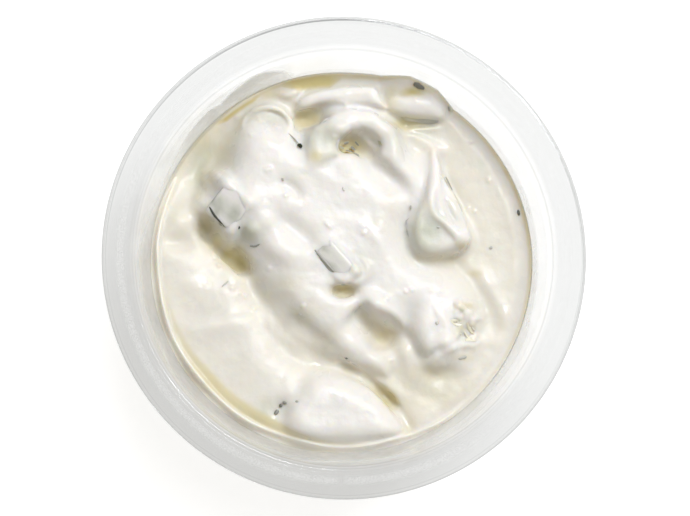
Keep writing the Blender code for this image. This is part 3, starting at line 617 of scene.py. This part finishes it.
def plastic_finish():
    """Clear plastic: light goes straight through, a little greyer over the rim, with painted shade in lines at the
    bends, and it mirrors.
    """
    finish, nodes, links, _ = new_finish("clear plastic")
    nodes.remove(nodes["Principled BSDF"])
    clear = nodes.new("ShaderNodeBsdfTransparent")
    # a little grey tint over the rim, and painted shade in lines at the bends
    links.new(mix_node(nodes, links, attribute_node(nodes, "rim_tint_and_bend_shade"), (0.93, 0.932, 0.932), (0.30, 0.31, 0.31)),
              clear.inputs["Color"])
    mirror = nodes.new("ShaderNodeBsdfGlossy")
    mirror.inputs["Roughness"].default_value = 0.07
    links.new(bump_node(nodes, links, noise_node(nodes, links, 90.0, 2.0), 0.08, 0.0006), mirror.inputs["Normal"])
    edge_on = nodes.new("ShaderNodeLayerWeight")
    edge_on.inputs["Blend"].default_value = 0.5
    grazing = times_node(nodes, links, edge_on.outputs["Facing"], 5.0, "POWER")
    share = range_node(nodes, links, grazing, (0.0, 1.0), (0.04, 1.0))
    mix = nodes.new("ShaderNodeMixShader")
    links.new(share, mix.inputs["Fac"])
    links.new(clear.outputs["BSDF"], mix.inputs[1])
    links.new(mirror.outputs["BSDF"], mix.inputs[2])
    links.new(mix.outputs["Shader"], nodes["Material Output"].inputs["Surface"])
    return finish


def film_finish(name, colour, roughness, strength, grain):
    """A thin, patchy film: its cover comes from the piece and is broken up by a noise."""
    finish, nodes, links, shader = new_finish(name)
    shader.inputs["Base Color"].default_value = (*colour, 1.0)
    shader.inputs["Roughness"].default_value = roughness
    patch = range_node(nodes, links, noise_node(nodes, links, grain, 4.0, 0.6), (0.3, 0.6), (0.5, 1.0))
    cover = times_node(nodes, links, attribute_node(nodes, "cover"), patch)
    links.new(times_node(nodes, links, cover, strength), shader.inputs["Alpha"])
    return finish


def cucumber_finish():
    """Wet cucumber: pale green flesh, darker towards the skin, with a thin film of dip in places."""
    finish, nodes, links, shader = new_finish("cucumber")
    cells = range_node(nodes, links, noise_node(nodes, links, 420.0, 4.0), (0.3, 0.7), (0.0, 1.0))
    flesh = mix_node(nodes, links, cells, (0.47, 0.475, 0.42), (0.56, 0.565, 0.51))
    core = mix_node(nodes, links, attribute_node(nodes, "core"), flesh, (0.58, 0.52, 0.22))
    skin = mix_node(nodes, links, attribute_node(nodes, "skin"), core, (0.035, 0.05, 0.022))
    film = attribute_node(nodes, "film")
    links.new(mix_node(nodes, links, film, skin, CREAM), shader.inputs["Base Color"])
    shader.inputs["Subsurface Weight"].default_value = 0.5
    shader.inputs["Subsurface Radius"].default_value = (0.8, 1.0, 0.5)
    shader.inputs["Subsurface Scale"].default_value = 0.0012
    shader.inputs["Roughness"].default_value = 0.34
    links.new(bump_node(nodes, links, noise_node(nodes, links, 700.0, 3.0), 0.25, 0.0003), shader.inputs["Normal"])
    return finish


def toned_finish(name, pale, dark, roughness):
    """Small bits, each with its own tone between two colours."""
    finish, nodes, links, shader = new_finish(name)
    links.new(mix_node(nodes, links, attribute_node(nodes, "tone"), pale, dark), shader.inputs["Base Color"])
    shader.inputs["Roughness"].default_value = roughness
    links.new(bump_node(nodes, links, noise_node(nodes, links, 1200.0, 2.0), 0.3, 0.0002), shader.inputs["Normal"])
    return finish


# ---------------------------------------------------------------- the pot

def pot_profile():
    """Half the pot's section: from the middle of the floor up the inside, over the rim and down the outside."""
    flange_start = RIM_RADIUS - FLANGE_WIDTH
    shoulder = POT_HEIGHT - COLLAR_HEIGHT - STEP_HEIGHT
    slant = WALL / math.cos(WALL_TAPER)
    heel_end = -math.degrees(WALL_TAPER)
    small = HEEL_RADIUS - WALL
    inner_middle = (wall_radius(WALL + small * (1 - math.sin(WALL_TAPER))) - small * math.cos(WALL_TAPER), WALL + small)
    outer_middle = (wall_radius(HEEL_RADIUS * (1 - math.sin(WALL_TAPER))) + slant
                    - HEEL_RADIUS * math.cos(WALL_TAPER), HEEL_RADIUS)
    ring_inner = outer_middle[0] - STAND_RING
    sheet = FLANGE_SHEET
    inside = [(0.0, FLOOR_RISE + WALL), (ring_inner - 1.2, FLOOR_RISE + WALL), (ring_inner, WALL)]
    inside += arc(inner_middle, small, -90, heel_end, 8)
    lean = math.tan(WALL_TAPER)
    crease = [(SHOULDER_RADIUS - 0.25 + (up + 0.5) * lean, shoulder + up) for up in (-0.5, -0.1, 0.3, 0.7, 2.0, 2.6, 3.1, 3.4)]
    inside += crease
    inside += arc((flange_start - 0.15, POT_HEIGHT - 0.5), 0.5, 165, 90, 5)
    curl = 0.85
    flat = (flange_start + 0.1, flange_start + 1.0, RIM_RADIUS - curl - 1.0, RIM_RADIUS - curl - 0.15)
    edge = [(r, POT_HEIGHT) for r in flat] + arc((RIM_RADIUS - curl, POT_HEIGHT - curl), curl, 90, 0, 12)
    edge += arc((RIM_RADIUS - sheet / 2, POT_HEIGHT - LIP_DROP + sheet / 2), sheet / 2, 0, -180, 6)
    edge += arc((RIM_RADIUS - curl, POT_HEIGHT - curl), curl - sheet, 0, 90, 5)
    outside = [(r, POT_HEIGHT - sheet) for r in reversed(flat[1:])]
    outside += arc((flange_start + sheet, POT_HEIGHT - sheet - 0.3), 0.3, 90, 165, 4)
    outside += [(r + sheet, h) for r, h in reversed(crease[:2])]
    outside += arc(outer_middle, HEEL_RADIUS, heel_end, -90, 8)
    outside += [(ring_inner, 0.0), (ring_inner - 1.2, FLOOR_RISE), (0.0, FLOOR_RISE)]
    return inside + edge + outside


RIM_GREY = 0.14
# Painted shade in lines at the plastic's bends, darker at some bearings than at others: radius, width, and how dark at
# bearings 0, 90, 180 and 270
BEND_LINES = [(49.85, 0.16, (0.45, 0.35, 0.3, 0.3)), (49.15, 0.12, (0.25, 0.85, 0.2, 0.2)), (43.75, 0.12, (0.12, 0.1, 0.2, 0.3)),
              (43.2, 0.12, (0.3, 0.3, 0.15, 0.3)), (42.45, 0.12, (0.15, 0.15, 0.15, 0.2))]


def add_pot():
    pot = new_piece("clear_pot", turned(pot_profile(), POT_SEGMENTS), plastic_finish(), ["tub"])
    place = points_of(pot.data)
    reach, bearing = np.hypot(place[:, 0], place[:, 1]), np.degrees(np.arctan2(place[:, 1], place[:, 0]))
    high = ease((place[:, 2] - (POT_HEIGHT - COLLAR_HEIGHT - STEP_HEIGHT)) / 2)
    # a little grey tint over the rim, then painted shade in lines at the bends
    bend = RIM_GREY * ease((reach - 43.4) / 0.8)
    for radius, width, tones in BEND_LINES:
        tone = around(bearing, [(90 * k, tone) for k, tone in enumerate(tones)], 1)
        bend = np.maximum(bend, tone * np.exp(-((reach - radius) / width) ** 2))
    set_attribute(pot, "rim_tint_and_bend_shade", bend * high)


# How much of the lid's seal is left on the rim, by bearing
RESIDUE = [(0, 0.15), (150, 0.2), (178, 0.9), (230, 1.0), (292, 1.0), (310, 0.2)]


def add_seal_residue():
    """A thin matt ring on the rim, left by the peeled lid."""
    inner, outer, rows = 45.2, 47.1, 8
    profile = [(inner + (outer - inner) * k / rows, POT_HEIGHT + 0.02) for k in range(rows + 1)]
    finish = film_finish("seal residue", (0.74, 0.74, 0.74), 0.6, 0.45, 1400.0)
    ring = new_piece("seal_residue", turned(profile, 360), finish)
    place = points_of(ring.data)
    across = (np.hypot(place[:, 0], place[:, 1]) - inner) / (outer - inner)
    bearing = np.degrees(np.arctan2(place[:, 1], place[:, 0])) % 360
    gap = np.clip(np.abs(bearing - 269) / 1.2 - 0.3, 0, 1)
    left_on = around(bearing, RESIDUE, 1)
    set_attribute(ring, "cover", left_on * np.sin(np.clip(across, 0, 1) * math.pi) ** 0.5 * gap)


# ---------------------------------------------------------------- the dip

def under_film_and_shade(x, y):
    """How much cucumber shows through the dip's thin skin, and how much painted shade greys it in some spots."""
    total = np.zeros(x.shape)
    for cx, cy, rx, ry, amount in COVERED_CUCUMBER_AND_SHADE:
        total += amount * np.exp(-(((x - cx) / rx) ** 2 + ((y - cy) / ry) ** 2) * 1.5)
    return np.clip(total, 0, 1)


# Places where cucumber lies just under the dip, and spots of painted shade by the wall at the upper left, under the
# tongue and on the leaf: middle, reach along X and Y, and how clearly it shows
COVERED_CUCUMBER_AND_SHADE = [(-15.5, 30.5, 5.0, 2.6, 0.45), (-19.5, 6.0, 3.0, 3.0, 0.85), (-15.5, -31.0, 3.4, 3.0, 0.5),
                    (17.4, 5.8, 4.6, 5.2, 1.0), (-4.0, 25.6, 4.5, 4.5, 0.7), (11.0, 25.0, 3.0, 5.0, 0.35),
                    (4.0, -1.5, 4.5, 4.0, 0.35), (-10.0, -11.0, 2.0, 2.5, 0.3), (16.0, 27.8, 6.0, 2.0, 0.4),
                    (18.5, -19.0, 3.0, 1.5, 0.35), (-29.4, 23.2, 3.4, 4.6, 0.65), (-30.6, 18.0, 2.4, 4.2, 0.5),
                    (20.0, -26.0, 7.0, 3.6, 0.2), (23.4, 11.0, 2.0, 4.4, 0.25), (17.4, -5.0, 2.0, 2.0, 0.1)]


def whey_and_shade_amount(x, y, ground):
    """How yellow the dip is: whey in the band along the wall, whey and painted shade deep in the grooves, and the
    spots, some of which are painted shade.
    """
    reach = np.hypot(x, y)
    bearing = np.degrees(np.arctan2(y, x))
    width, start, amount = (around(bearing, WHEY_BAND, k) for k in (1, 2, 3))
    across = (FILL_EDGE - start - reach) / np.maximum(width, 0.1)
    band = amount * ease((across + 0.15) / 0.3) * ease((1.3 - across) / 0.6)
    sunk = ground.read(ground.level - ground.height, x, y)
    # the yellow deep in the grooves is partly whey and partly painted shade
    groove = 0.75 * ease((sunk - 1.0) / 2.0)
    whey_and_shade = np.maximum(band, groove)
    for mx, my, rx, ry, strength in WHEY_AND_SHADE_SPOTS:
        whey_and_shade = np.maximum(whey_and_shade, strength * np.exp(-((x - mx) / rx) ** 2 - ((y - my) / ry) ** 2))
    return np.clip(whey_and_shade, 0, 1)


def climbing(x, y):
    """How much higher the dip stands by the wall, and how much further out that takes it."""
    reach = np.hypot(x, y)
    climb = around(np.degrees(np.arctan2(y, x)), WALL_CLIMB, 1) * ease((reach - FILL_EDGE + 4) / 4)
    return climb, 1 + climb * math.tan(WALL_TAPER) / np.maximum(reach, 1)


LUMPS = [(7.0, 0.24), (3.0, 0.13), (1.3, 0.045)]     # how far apart the lumps are, and how high
SWELL = 0.5


def add_dip(ground):
    floor = WALL - INTO_WALL
    heel = HEEL_RADIUS - WALL + INTO_WALL
    middle = (wall_radius(floor + heel * (1 - math.sin(WALL_TAPER))) + INTO_WALL - heel * math.cos(WALL_TAPER),
              floor + heel)
    edge = FILL_EDGE + INTO_WALL
    profile = [(edge * k / TOP_RINGS, FILL_HEIGHT) for k in range(TOP_RINGS + 1)]
    profile += [(wall_radius(h) + INTO_WALL, h) for h in (30.0, 25.0, 18.0, 10.0)]
    profile += reversed(arc(middle, heel, -90, -math.degrees(WALL_TAPER), 6))
    ring_inner = middle[0] - STAND_RING
    profile += [(ring_inner, floor), (ring_inner - 1.2, floor + FLOOR_RISE), (0.0, floor + FLOOR_RISE)]
    dip = new_piece("dip_surface", turned(profile, TOP_SEGMENTS), dip_finish(), ["dip"])
    place = points_of(dip.data)
    top = place[:, 2] > FILL_HEIGHT - 0.01
    x, y = place[top, 0], place[top, 1]
    reach = np.hypot(x, y)
    bearing = np.degrees(np.arctan2(y, x))
    height = ground.read(ground.height, x, y)
    # a ridge is left standing along the wall
    ridge = FILL_EDGE - around(bearing, WALL_RIDGE, 2) + 0.15 * np.sin(np.radians(bearing * 11)) - reach
    height += around(bearing, WALL_RIDGE, 1) * (1 + 0.25 * np.sin(np.radians(bearing * 17))) * np.exp(-(ridge / 0.5) ** 2)
    climb, outwards = climbing(x, y)
    height += climb
    # crests swell and feet draw in, so that the folds hang over a little
    proud = np.clip(height - ground.read(ground.level, x, y), -1.5, 1.5)
    sx, sy = ground.read(ground.slope_x, x, y), ground.read(ground.slope_y, x, y)
    steep = 1 / np.sqrt(1 + sx ** 2 + sy ** 2)
    swell = SWELL * proud * ease((FILL_EDGE - 1.0 - reach) / 3)
    inner = ease((FILL_EDGE - 0.5 - reach) / 2)
    lumps = sum(size * np.array([noise.noise((a / pitch, b / pitch, pitch)) for a, b in zip(x, y)])
                for pitch, size in LUMPS)
    place[top, 0] = x * outwards - sx * steep * swell
    place[top, 1] = y * outwards - sy * steep * swell
    place[top, 2] = FILL_HEIGHT + height + steep * swell + lumps * inner
    dip.data.vertices.foreach_set("co", (place * MM).astype(np.float32).ravel())
    dip.data.update()
    # the low attribute is painted shade: the lower the dip lies, the darker it is painted, less so by the wall on the
    # right, where it faces the lamps
    for name, values in (("whey_and_shade", whey_and_shade_amount(x, y, ground)), ("under_film_and_shade", under_film_and_shade(x, y)),
                         ("wet", np.clip(2 * ground.read(ground.wet, x, y), 0, 1)),
                         ("low", ease((4.5 - height) / 5.5) * (1 - 0.6 * ease((reach - FILL_EDGE + 4) / 3) * ease((x + 5) / 10)))):
        whole = np.zeros(len(place))
        whole[top] = values
        set_attribute(dip, name, whole)


# The film of dip on the wall: bearing, how far up it reaches, how thick it is
WALL_FILM = [(0, 0.5, 0.35), (60, 0.4, 0.25), (104, 0.3, 0.2), (108, 0.7, 0.6), (113, 0.97, 0.8), (117, 1.0, 0.85),
             (124, 0.8, 0.85), (128, 0.62, 0.75), (132, 0.78, 0.8), (140, 0.7, 0.75), (150, 0.5, 0.6), (160, 0.35, 0.4),
             (172, 0.8, 0.5), (182, 1.05, 0.6), (200, 0.9, 0.5), (208, 1.05, 0.55), (240, 1.05, 0.6), (252, 0.85, 0.8),
             (285, 0.9, 0.9), (292, 0.7, 0.6), (300, 0.75, 0.6), (318, 0.6, 0.5), (336, 0.7, 0.45), (345, 0.5, 0.4)]


def add_wall_film():
    """What the dip has left on the wall over its edge: pale veils and smears."""
    rows, steps = 16, 360
    low, high = FILL_HEIGHT - 0.3, POT_HEIGHT - COLLAR_HEIGHT - STEP_HEIGHT - 0.2
    heights = [low + (high - low) * k / rows for k in range(rows + 1)]
    shape = turned([(wall_radius(h) - 0.06, h) for h in heights], steps)
    film = new_piece("wall_film", shape, film_finish("film of dip", (0.90, 0.885, 0.84), 0.35, 0.9, 110.0))
    place = points_of(film.data)
    bearing = np.degrees(np.arctan2(place[:, 1], place[:, 0])) % 360
    up = (place[:, 2] - low) / (high - low)
    reach_up, amount = around(bearing, WALL_FILM, 1), around(bearing, WALL_FILM, 2)
    set_attribute(film, "cover", amount * (0.25 + 0.75 * ease((reach_up - up) / 0.12)) * ease((1.03 - up) / 0.1))


# ---------------------------------------------------------------- the cucumber

# Each piece: its form and sizes, its middle, the bearing and angle it leans by, the bearing of its
# length, the side of it that has skin, and the spots where no dip lies on it: x, y, reach, depth.
Piece = namedtuple("Piece", "form size middle lean spin skin bare")


def cut_block(size):
    """A cut block with softened edges."""
    shape = bmesh.new()
    bmesh.ops.create_cube(shape, size=1.0)
    bmesh.ops.scale(shape, vec=size, verts=shape.verts)
    bmesh.ops.bevel(shape, geom=shape.edges[:], offset=0.16 * min(size), affect="EDGES", segments=3, profile=0.5,
                    material=-1)
    return shape


def cut_lump(size):
    """A cut block worn nearly round."""
    shape = bmesh.new()
    bmesh.ops.create_cube(shape, size=1.0)
    bmesh.ops.subdivide_edges(shape, edges=shape.edges[:], cuts=2, use_grid_fill=True)
    for vertex in shape.verts:
        vertex.co = vertex.co * 0.35 + vertex.co.normalized() * 0.33
    bmesh.ops.scale(shape, vec=size, verts=shape.verts)
    return shape


def cut_wedge(size):
    """A three-sided length, lying along X with its ridge up."""
    length, width, height = size
    shape = bmesh.new()
    bmesh.ops.create_cube(shape, size=1.0)
    for vertex in shape.verts:
        narrow = 0.3 if vertex.co.z > 0 else 1.0
        vertex.co = Vector((vertex.co.x * length, vertex.co.y * narrow * width, vertex.co.z * height))
    bmesh.ops.bevel(shape, geom=shape.edges[:], offset=0.12 * min(size), affect="EDGES", segments=3, profile=0.5,
                    material=-1)
    return shape


def cut_ring(size):
    """Most of a ring cut across a cucumber, with the seed hollow open at one side."""
    outer, inner, thickness = size
    half_width, half = (outer - inner) / 2, thickness / 2
    middle = (outer + inner) / 2
    section = []
    for k in range(14):
        t = 2 * math.pi * k / 14
        bulge = abs(math.cos(t)) ** 0.6, abs(math.sin(t)) ** 0.6
        section.append((middle + half_width * math.copysign(bulge[0], math.cos(t)),
                        half * math.copysign(bulge[1], math.sin(t))))
    start, sweep = math.radians(-15.0), math.radians(210.0)
    shape = bmesh.new()
    corners = [shape.verts.new((r * math.cos(start), r * math.sin(start), z)) for r, z in section]
    face = shape.faces.new(corners)
    bmesh.ops.spin(shape, geom=[face, *face.edges, *corners], cent=(0, 0, 0), axis=(0, 0, 1), angle=sweep,
                   steps=28, use_merge=False)
    bmesh.ops.holes_fill(shape, edges=[e for e in shape.edges if e.is_boundary])
    for vertex in shape.verts:
        inward = (outer - math.hypot(vertex.co.x, vertex.co.y)) / (outer - inner)
        vertex.co += Vector((1.2, 1.8, 0)) * ease(inward)
    return shape


PIECES = {
    "cucumber_dice": Piece(cut_block, (8.4, 7.4, 6.4), (-23.2, 11.3, FILL_HEIGHT + 3.5), (215, 12), 52, (-1, -0.1, -0.3),
                           [(-24.8, 11.0, 4.2, 1.4), (-28.4, 7.8, 3.4, 3.4), (-27.6, 14.2, 2.4, 1.8)]),
    "cucumber_sliver": Piece(cut_block, (9.6, 5.0, 5.6), (-0.9, -0.3, FILL_HEIGHT + 3.7), (215, 15), -49, (0, -1, -0.2),
                             [(-2.4, 0.6, 3.0, 0.9), (-4.8, -0.6, 2.2, 2.2), (0.4, -1.6, 2.0, 0.7)]),
    "cucumber_slice": Piece(cut_ring, (10.0, 4.4, 4.0), (2.2, 21.6, FILL_HEIGHT + 4.2), (45, 4), 0, (-0.8, 0.5, -0.6),
                            []),
    "cucumber_wedge": Piece(cut_wedge, (11.4, 7.4, 5.6), (15.4, 32.4, FILL_HEIGHT + 0.3), (0, 0), -8, (0.3, 1, -0.2),
                            [(18.8, 28.2, 2.6, 1.0), (21.0, 29.0, 1.6, 0.9)]),
    "cucumber_chunk": Piece(cut_lump, (9.0, 10.0, 7.2), (17.6, 6.4, FILL_HEIGHT + 1.3), (225, 8), 20, (-0.7, -0.6, -0.4),
                            [(16.4, 5.6, 1.4, 0.45)]),
}


# Pieces that sink into the dip on the side away from their skin
COATED = ("cucumber_dice", "cucumber_sliver")


def cucumber_shapes():
    """The cut pieces in their places, and where each of their points was before."""
    shapes, locals_ = {}, {}
    for number, (name, piece) in enumerate(PIECES.items()):
        shape = piece.form(piece.size)
        bmesh.ops.subdivide_edges(shape, edges=shape.edges[:], cuts=3, use_grid_fill=True)
        bmesh.ops.triangulate(shape, faces=[f for f in shape.faces if len(f.verts) > 4])
        bmesh.ops.smooth_vert(shape, verts=shape.verts, factor=0.5, use_axis_x=True, use_axis_y=True, use_axis_z=True)
        shape.normal_update()
        for vertex in shape.verts:
            offset = Vector((number * 9.0, 0, 0))
            wave = noise.noise(vertex.co / 3.0 + offset) + 0.35 * noise.noise(vertex.co / 1.1 + offset)
            vertex.co += vertex.normal * 0.25 * wave
        locals_[name] = np.array([v.co for v in shape.verts])
        bearing, angle = (math.radians(a) for a in piece.lean)
        axis = Vector((-math.sin(bearing), math.cos(bearing), 0))
        turn = Matrix.Rotation(angle, 4, axis) @ Matrix.Rotation(math.radians(piece.spin), 4, "Z")
        bmesh.ops.transform(shape, matrix=Matrix.Translation(piece.middle) @ turn, verts=shape.verts)
        for vertex in shape.verts:
            limit = (wall_radius(vertex.co.z) - 0.1) / max(math.hypot(vertex.co.x, vertex.co.y), 1)
            vertex.co.x *= min(limit, 1)
            vertex.co.y *= min(limit, 1)
        bmesh.ops.recalc_face_normals(shape, faces=shape.faces)
        shapes[name] = shape
    return shapes, locals_


def add_cucumber(shapes, locals_, finish):
    for number, (name, piece) in enumerate(PIECES.items()):
        item = new_piece(name + "_cut", shapes[name], finish, [name])
        place = points_of(item.data)
        side = np.array(Vector(piece.skin).normalized())
        along_skin = locals_[name] @ side
        skin = ease((along_skin - np.percentile(along_skin, 92)) / 0.25)
        patch = np.array([noise.noise((a / 2.2, b / 2.2, c / 2.2 + number)) for a, b, c in place])
        set_attribute(item, "skin", skin)
        film = 0.75 * ease((patch + 0.15) / 0.4)
        if name in COATED:
            film = np.maximum(film, 0.9 * ease((np.percentile(along_skin, 48) - along_skin + patch) / 2.2))
        set_attribute(item, "film", film * (1 - skin))
        set_attribute(item, "core", ease((np.percentile(along_skin, 25) - along_skin) / 1.5) * 0.7)


# ---------------------------------------------------------------- herbs and specks

# Dark bits and edges of skin: the line each follows, its width, and how dark it is
DARK_BITS = [
    ([(-9.4, 24.4), (-8.6, 23.6)], 0.9, 1.0), ([(-11.4, 26.6), (-10.2, 25.6), (-9.2, 24.4)], 0.3, 0.5),
    ([(37.3, 11.2), (37.5, 10.0)], 0.6, 0.9), ([(-22.3, 6.9), (-21.5, 6.5)], 0.7, 0.9),
    ([(-19.4, 3.0), (-18.4, 2.8), (-17.4, 3.2)], 0.4, 0.6), ([(-13.0, -30.0), (-12.6, -30.6)], 0.8, 0.8),
    ([(-14.0, -32.2), (-13.4, -31.2)], 0.8, 0.75), ([(-12.4, -29.5), (-11.6, -29.9)], 0.6, 0.6), ([(-9.8, -29.4), (-9.2, -29.6)], 0.5, 0.4),
    ([(14.6, 36.5), (15.6, 36.1), (16.8, 35.5)], 0.8, 0.75), ([(22.4, 32.8), (22.9, 32.1)], 0.6, 0.4),
    ([(0.7, -19.6), (1.1, -20.6)], 0.9, 0.8), ([(1.6, -19.4), (1.9, -20.2)], 0.5, 0.4), ([(23.0, -19.0), (24.2, -18.9)], 0.4, 0.9),
    ([(24.4, -20.5), (25.4, -20.2), (26.2, -19.9)], 0.7, 0.35), ([(31.2, 3.0), (31.8, 3.2)], 0.6, 0.35),
    ([(16.2, 6.0), (16.3, 4.6)], 0.6, 0.35), ([(19.6, 6.8), (20.2, 6.8)], 0.5, 0.3),
    ([(14.3, 11.6), (14.3, 10.8)], 0.5, 0.35), ([(-12.8, 17.0), (-12.4, 16.5)], 0.5, 0.35),
    ([(0.0, 15.2), (0.3, 14.4)], 0.5, 0.12), ([(19.6, -12.8), (19.8, -13.5)], 0.7, 0.25),
    ([(-25.2, -5.4), (-23.8, -4.2)], 0.3, 0.3), ([(12.1, 24.2), (12.3, 23.5)], 0.5, 0.2), ([(-9.2, -10.8), (-8.7, -11.6)], 0.7, 0.1),
    ([(21.9, 18.0), (22.5, 16.8), (23.3, 15.2)], 0.45, 0.6), ([(23.6, 14.4), (24.6, 12.4), (25.3, 10.8)], 0.25, 0.3),
    ([(0.4, 24.8), (1.4, 25.2)], 0.5, 0.5), ([(0.8, 23.4), (2.1, 23.1)], 0.5, 0.6), ([(1.9, 24.4), (2.9, 23.7)], 0.6, 0.65),
    ([(2.4, 22.9), (3.5, 22.3)], 0.5, 0.55), ([(2.8, 25.4), (3.6, 24.6)], 0.4, 0.5), ([(-0.6, 24.0), (0.4, 23.7)], 0.4, 0.4),
    ([(25.8, 4.6), (25.0, 3.6), (24.2, 2.8)], 0.3, 0.35), ([(-5.9, 2.0), (-4.4, 0.2), (-2.0, -2.6)], 0.5, 0.5),
    ([(-27.9, 10.9), (-26.9, 9.2), (-25.8, 7.8), (-24.8, 6.7)], 0.55, 0.95), ([(-27.4, 12.0), (-25.6, 14.4), (-24.0, 16.2)], 0.25, 0.4),
]


def laid_strips(ground, rows, seed, thickness, clear):
    """Thin strips that follow lines on the dip, clear of it by so much, as one shape with a tone for each point."""
    rng = random.Random(seed)
    joined, tones = bmesh.new(), []
    for line, width, tone in rows:
        path = smooth_line(line, steps=6)
        strip = bmesh.new()
        bmesh.ops.create_grid(strip, x_segments=8, y_segments=3, size=0.5)
        for vertex in strip.verts:
            share, across = vertex.co.x + 0.5, 2 * vertex.co.y
            place = share * (len(path) - 1)
            k = min(int(place), len(path) - 2)
            start, step = path[k], path[k + 1] - path[k]
            spot = start + step * (place - k)
            side = np.array([-step[1], step[0]]) / np.hypot(*step)
            taper = 1 - 0.6 * abs(2 * share - 1) ** 3
            spot = spot + side * across * width / 2 * taper * rng.uniform(0.8, 1.1)
            lift = thickness * (0.9 - 0.5 * across ** 2) + rng.uniform(-0.02, 0.02)
            climb, outwards = climbing(*spot)
            height = float(ground.read(ground.seen, *spot) + climb)
            z = FILL_HEIGHT + height + clear + lift
            outwards = min(outwards, (wall_radius(z) - 0.2) / np.hypot(*spot))
            vertex.co = (spot[0] * outwards, spot[1] * outwards, z)
        bmesh.ops.solidify(strip, geom=strip.faces[:], thickness=thickness)
        tones += [tone] * len(strip.verts)
        mesh = bpy.data.meshes.new("strip")
        strip.to_mesh(mesh)
        strip.free()
        joined.from_mesh(mesh)
        bpy.data.meshes.remove(mesh)
    bmesh.ops.recalc_face_normals(joined, faces=joined.faces)
    return joined, tones


def add_bits(ground):
    shape, tones = laid_strips(ground, DARK_BITS, SEED, 0.16, 0.1)
    finish = toned_finish("dill and skin", (0.76, 0.745, 0.69), (0.02, 0.025, 0.012), 0.35)
    set_attribute(new_piece("dill_and_skin", shape, finish), "tone", tones)
    rng = random.Random(SEED + 1)
    shreds = []
    for _ in range(20):
        x, y, turn = rng.uniform(22.8, 27.2), rng.uniform(-18.2, -9.6), rng.uniform(-1.4, 0.5)
        half = rng.uniform(0.7, 1.5)
        dx, dy = math.cos(turn) * half, math.sin(turn) * half
        shreds.append(([(x - dx, y - dy), (x + dy * 0.2, y - dx * 0.2), (x + dx, y + dy)], rng.uniform(0.5, 0.9),
                       rng.uniform(0.2, 1.0)))
    shape, tones = laid_strips(ground, shreds, SEED + 2, 0.3, -0.16)
    finish = toned_finish("grated cucumber", (0.80, 0.775, 0.71), (0.79, 0.75, 0.56), 0.3)
    set_attribute(new_piece("grated_cucumber", shape, finish), "tone", tones)


# ---------------------------------------------------------------- floor, lights and camera

def add_floor():
    shape = bmesh.new()
    bmesh.ops.create_grid(shape, x_segments=1, y_segments=1, size=1500)
    bmesh.ops.translate(shape, vec=(0, 0, -0.1), verts=shape.verts)
    bmesh.ops.scale(shape, vec=(MM, MM, MM), verts=shape.verts)
    mesh = bpy.data.meshes.new("floor")
    shape.to_mesh(mesh)
    shape.free()
    finish, _, _, shader = new_finish("pale floor")
    shader.inputs["Base Color"].default_value = (0.55, 0.55, 0.55, 1.0)
    shader.inputs["Emission Color"].default_value = (1.0, 1.0, 1.0, 1.0)
    shader.inputs["Emission Strength"].default_value = 0.72
    shader.inputs["Roughness"].default_value = 0.8
    shader.inputs["Specular IOR Level"].default_value = 0.1
    mesh.materials.append(finish)
    floor = bpy.data.objects.new("floor", mesh)
    bpy.context.scene.collection.objects.link(floor)


def add_area_light(name, bearing, rise, distance, size, power):
    """A square lamp aimed at the dip, from a bearing and a rise in degrees."""
    data = bpy.data.lights.new(name, "AREA")
    data.shape = "SQUARE"
    data.size = size
    data.energy = power
    data.color = (0.98, 1.0, 1.04)
    lamp = bpy.data.objects.new(name, data)
    flat = math.cos(math.radians(rise))
    out = Vector((flat * math.cos(math.radians(bearing)), flat * math.sin(math.radians(bearing)),
                  math.sin(math.radians(rise))))
    lamp.location = Vector((0, 0, FILL_HEIGHT * MM)) + out * distance
    lamp.rotation_mode = "QUATERNION"
    lamp.rotation_quaternion = out.to_track_quat("Z", "Y")
    bpy.context.scene.collection.objects.link(lamp)


def add_lights():
    world = bpy.data.worlds.new("studio")
    world.use_nodes = True
    background = world.node_tree.nodes["Background"]
    background.inputs["Color"].default_value = (1.0, 0.965, 0.85, 1.0)
    background.inputs["Strength"].default_value = 0.40
    bpy.context.scene.world = world
    add_area_light("overhead", 55, 63, 0.75, 0.24, 3.35)
    add_area_light("window", 42, 50, 0.80, 0.07, 1.1)
    add_area_light("lamp", 80, 52, 0.80, 0.06, 0.6)


def add_camera():
    """Almost straight down, tilted towards the lower left, with +Y up in the picture."""
    distance, tilt = 0.600, math.radians(6.0)
    seen_width, picture_width = 0.14198, 690
    toward = Vector((-0.476 * math.sin(tilt), -0.879 * math.sin(tilt), math.cos(tilt)))
    pixel = seen_width / picture_width
    aim = Vector((0.0, -2.15 * pixel, POT_HEIGHT * MM))
    data = bpy.data.cameras.new("camera")
    data.sensor_width = 36.0
    data.lens = 36.0 * distance / seen_width
    data.clip_start = 0.01
    camera = bpy.data.objects.new("camera", data)
    back = toward.normalized()
    right = Vector((0, 1, 0)).cross(back).normalized()
    up = back.cross(right)
    camera.matrix_world = Matrix.Translation(aim + back * distance) @ Matrix((right, up, back)).transposed().to_4x4()
    bpy.context.scene.collection.objects.link(camera)
    bpy.context.scene.camera = camera


def main():
    bpy.context.scene.view_settings.view_transform = "Standard"
    shapes, locals_ = cucumber_shapes()
    ground = Ground(shapes)
    add_camera()
    add_lights()
    add_floor()
    add_pot()
    add_seal_residue()
    add_dip(ground)
    add_wall_film()
    add_cucumber(shapes, locals_, cucumber_finish())
    add_bits(ground)


main()
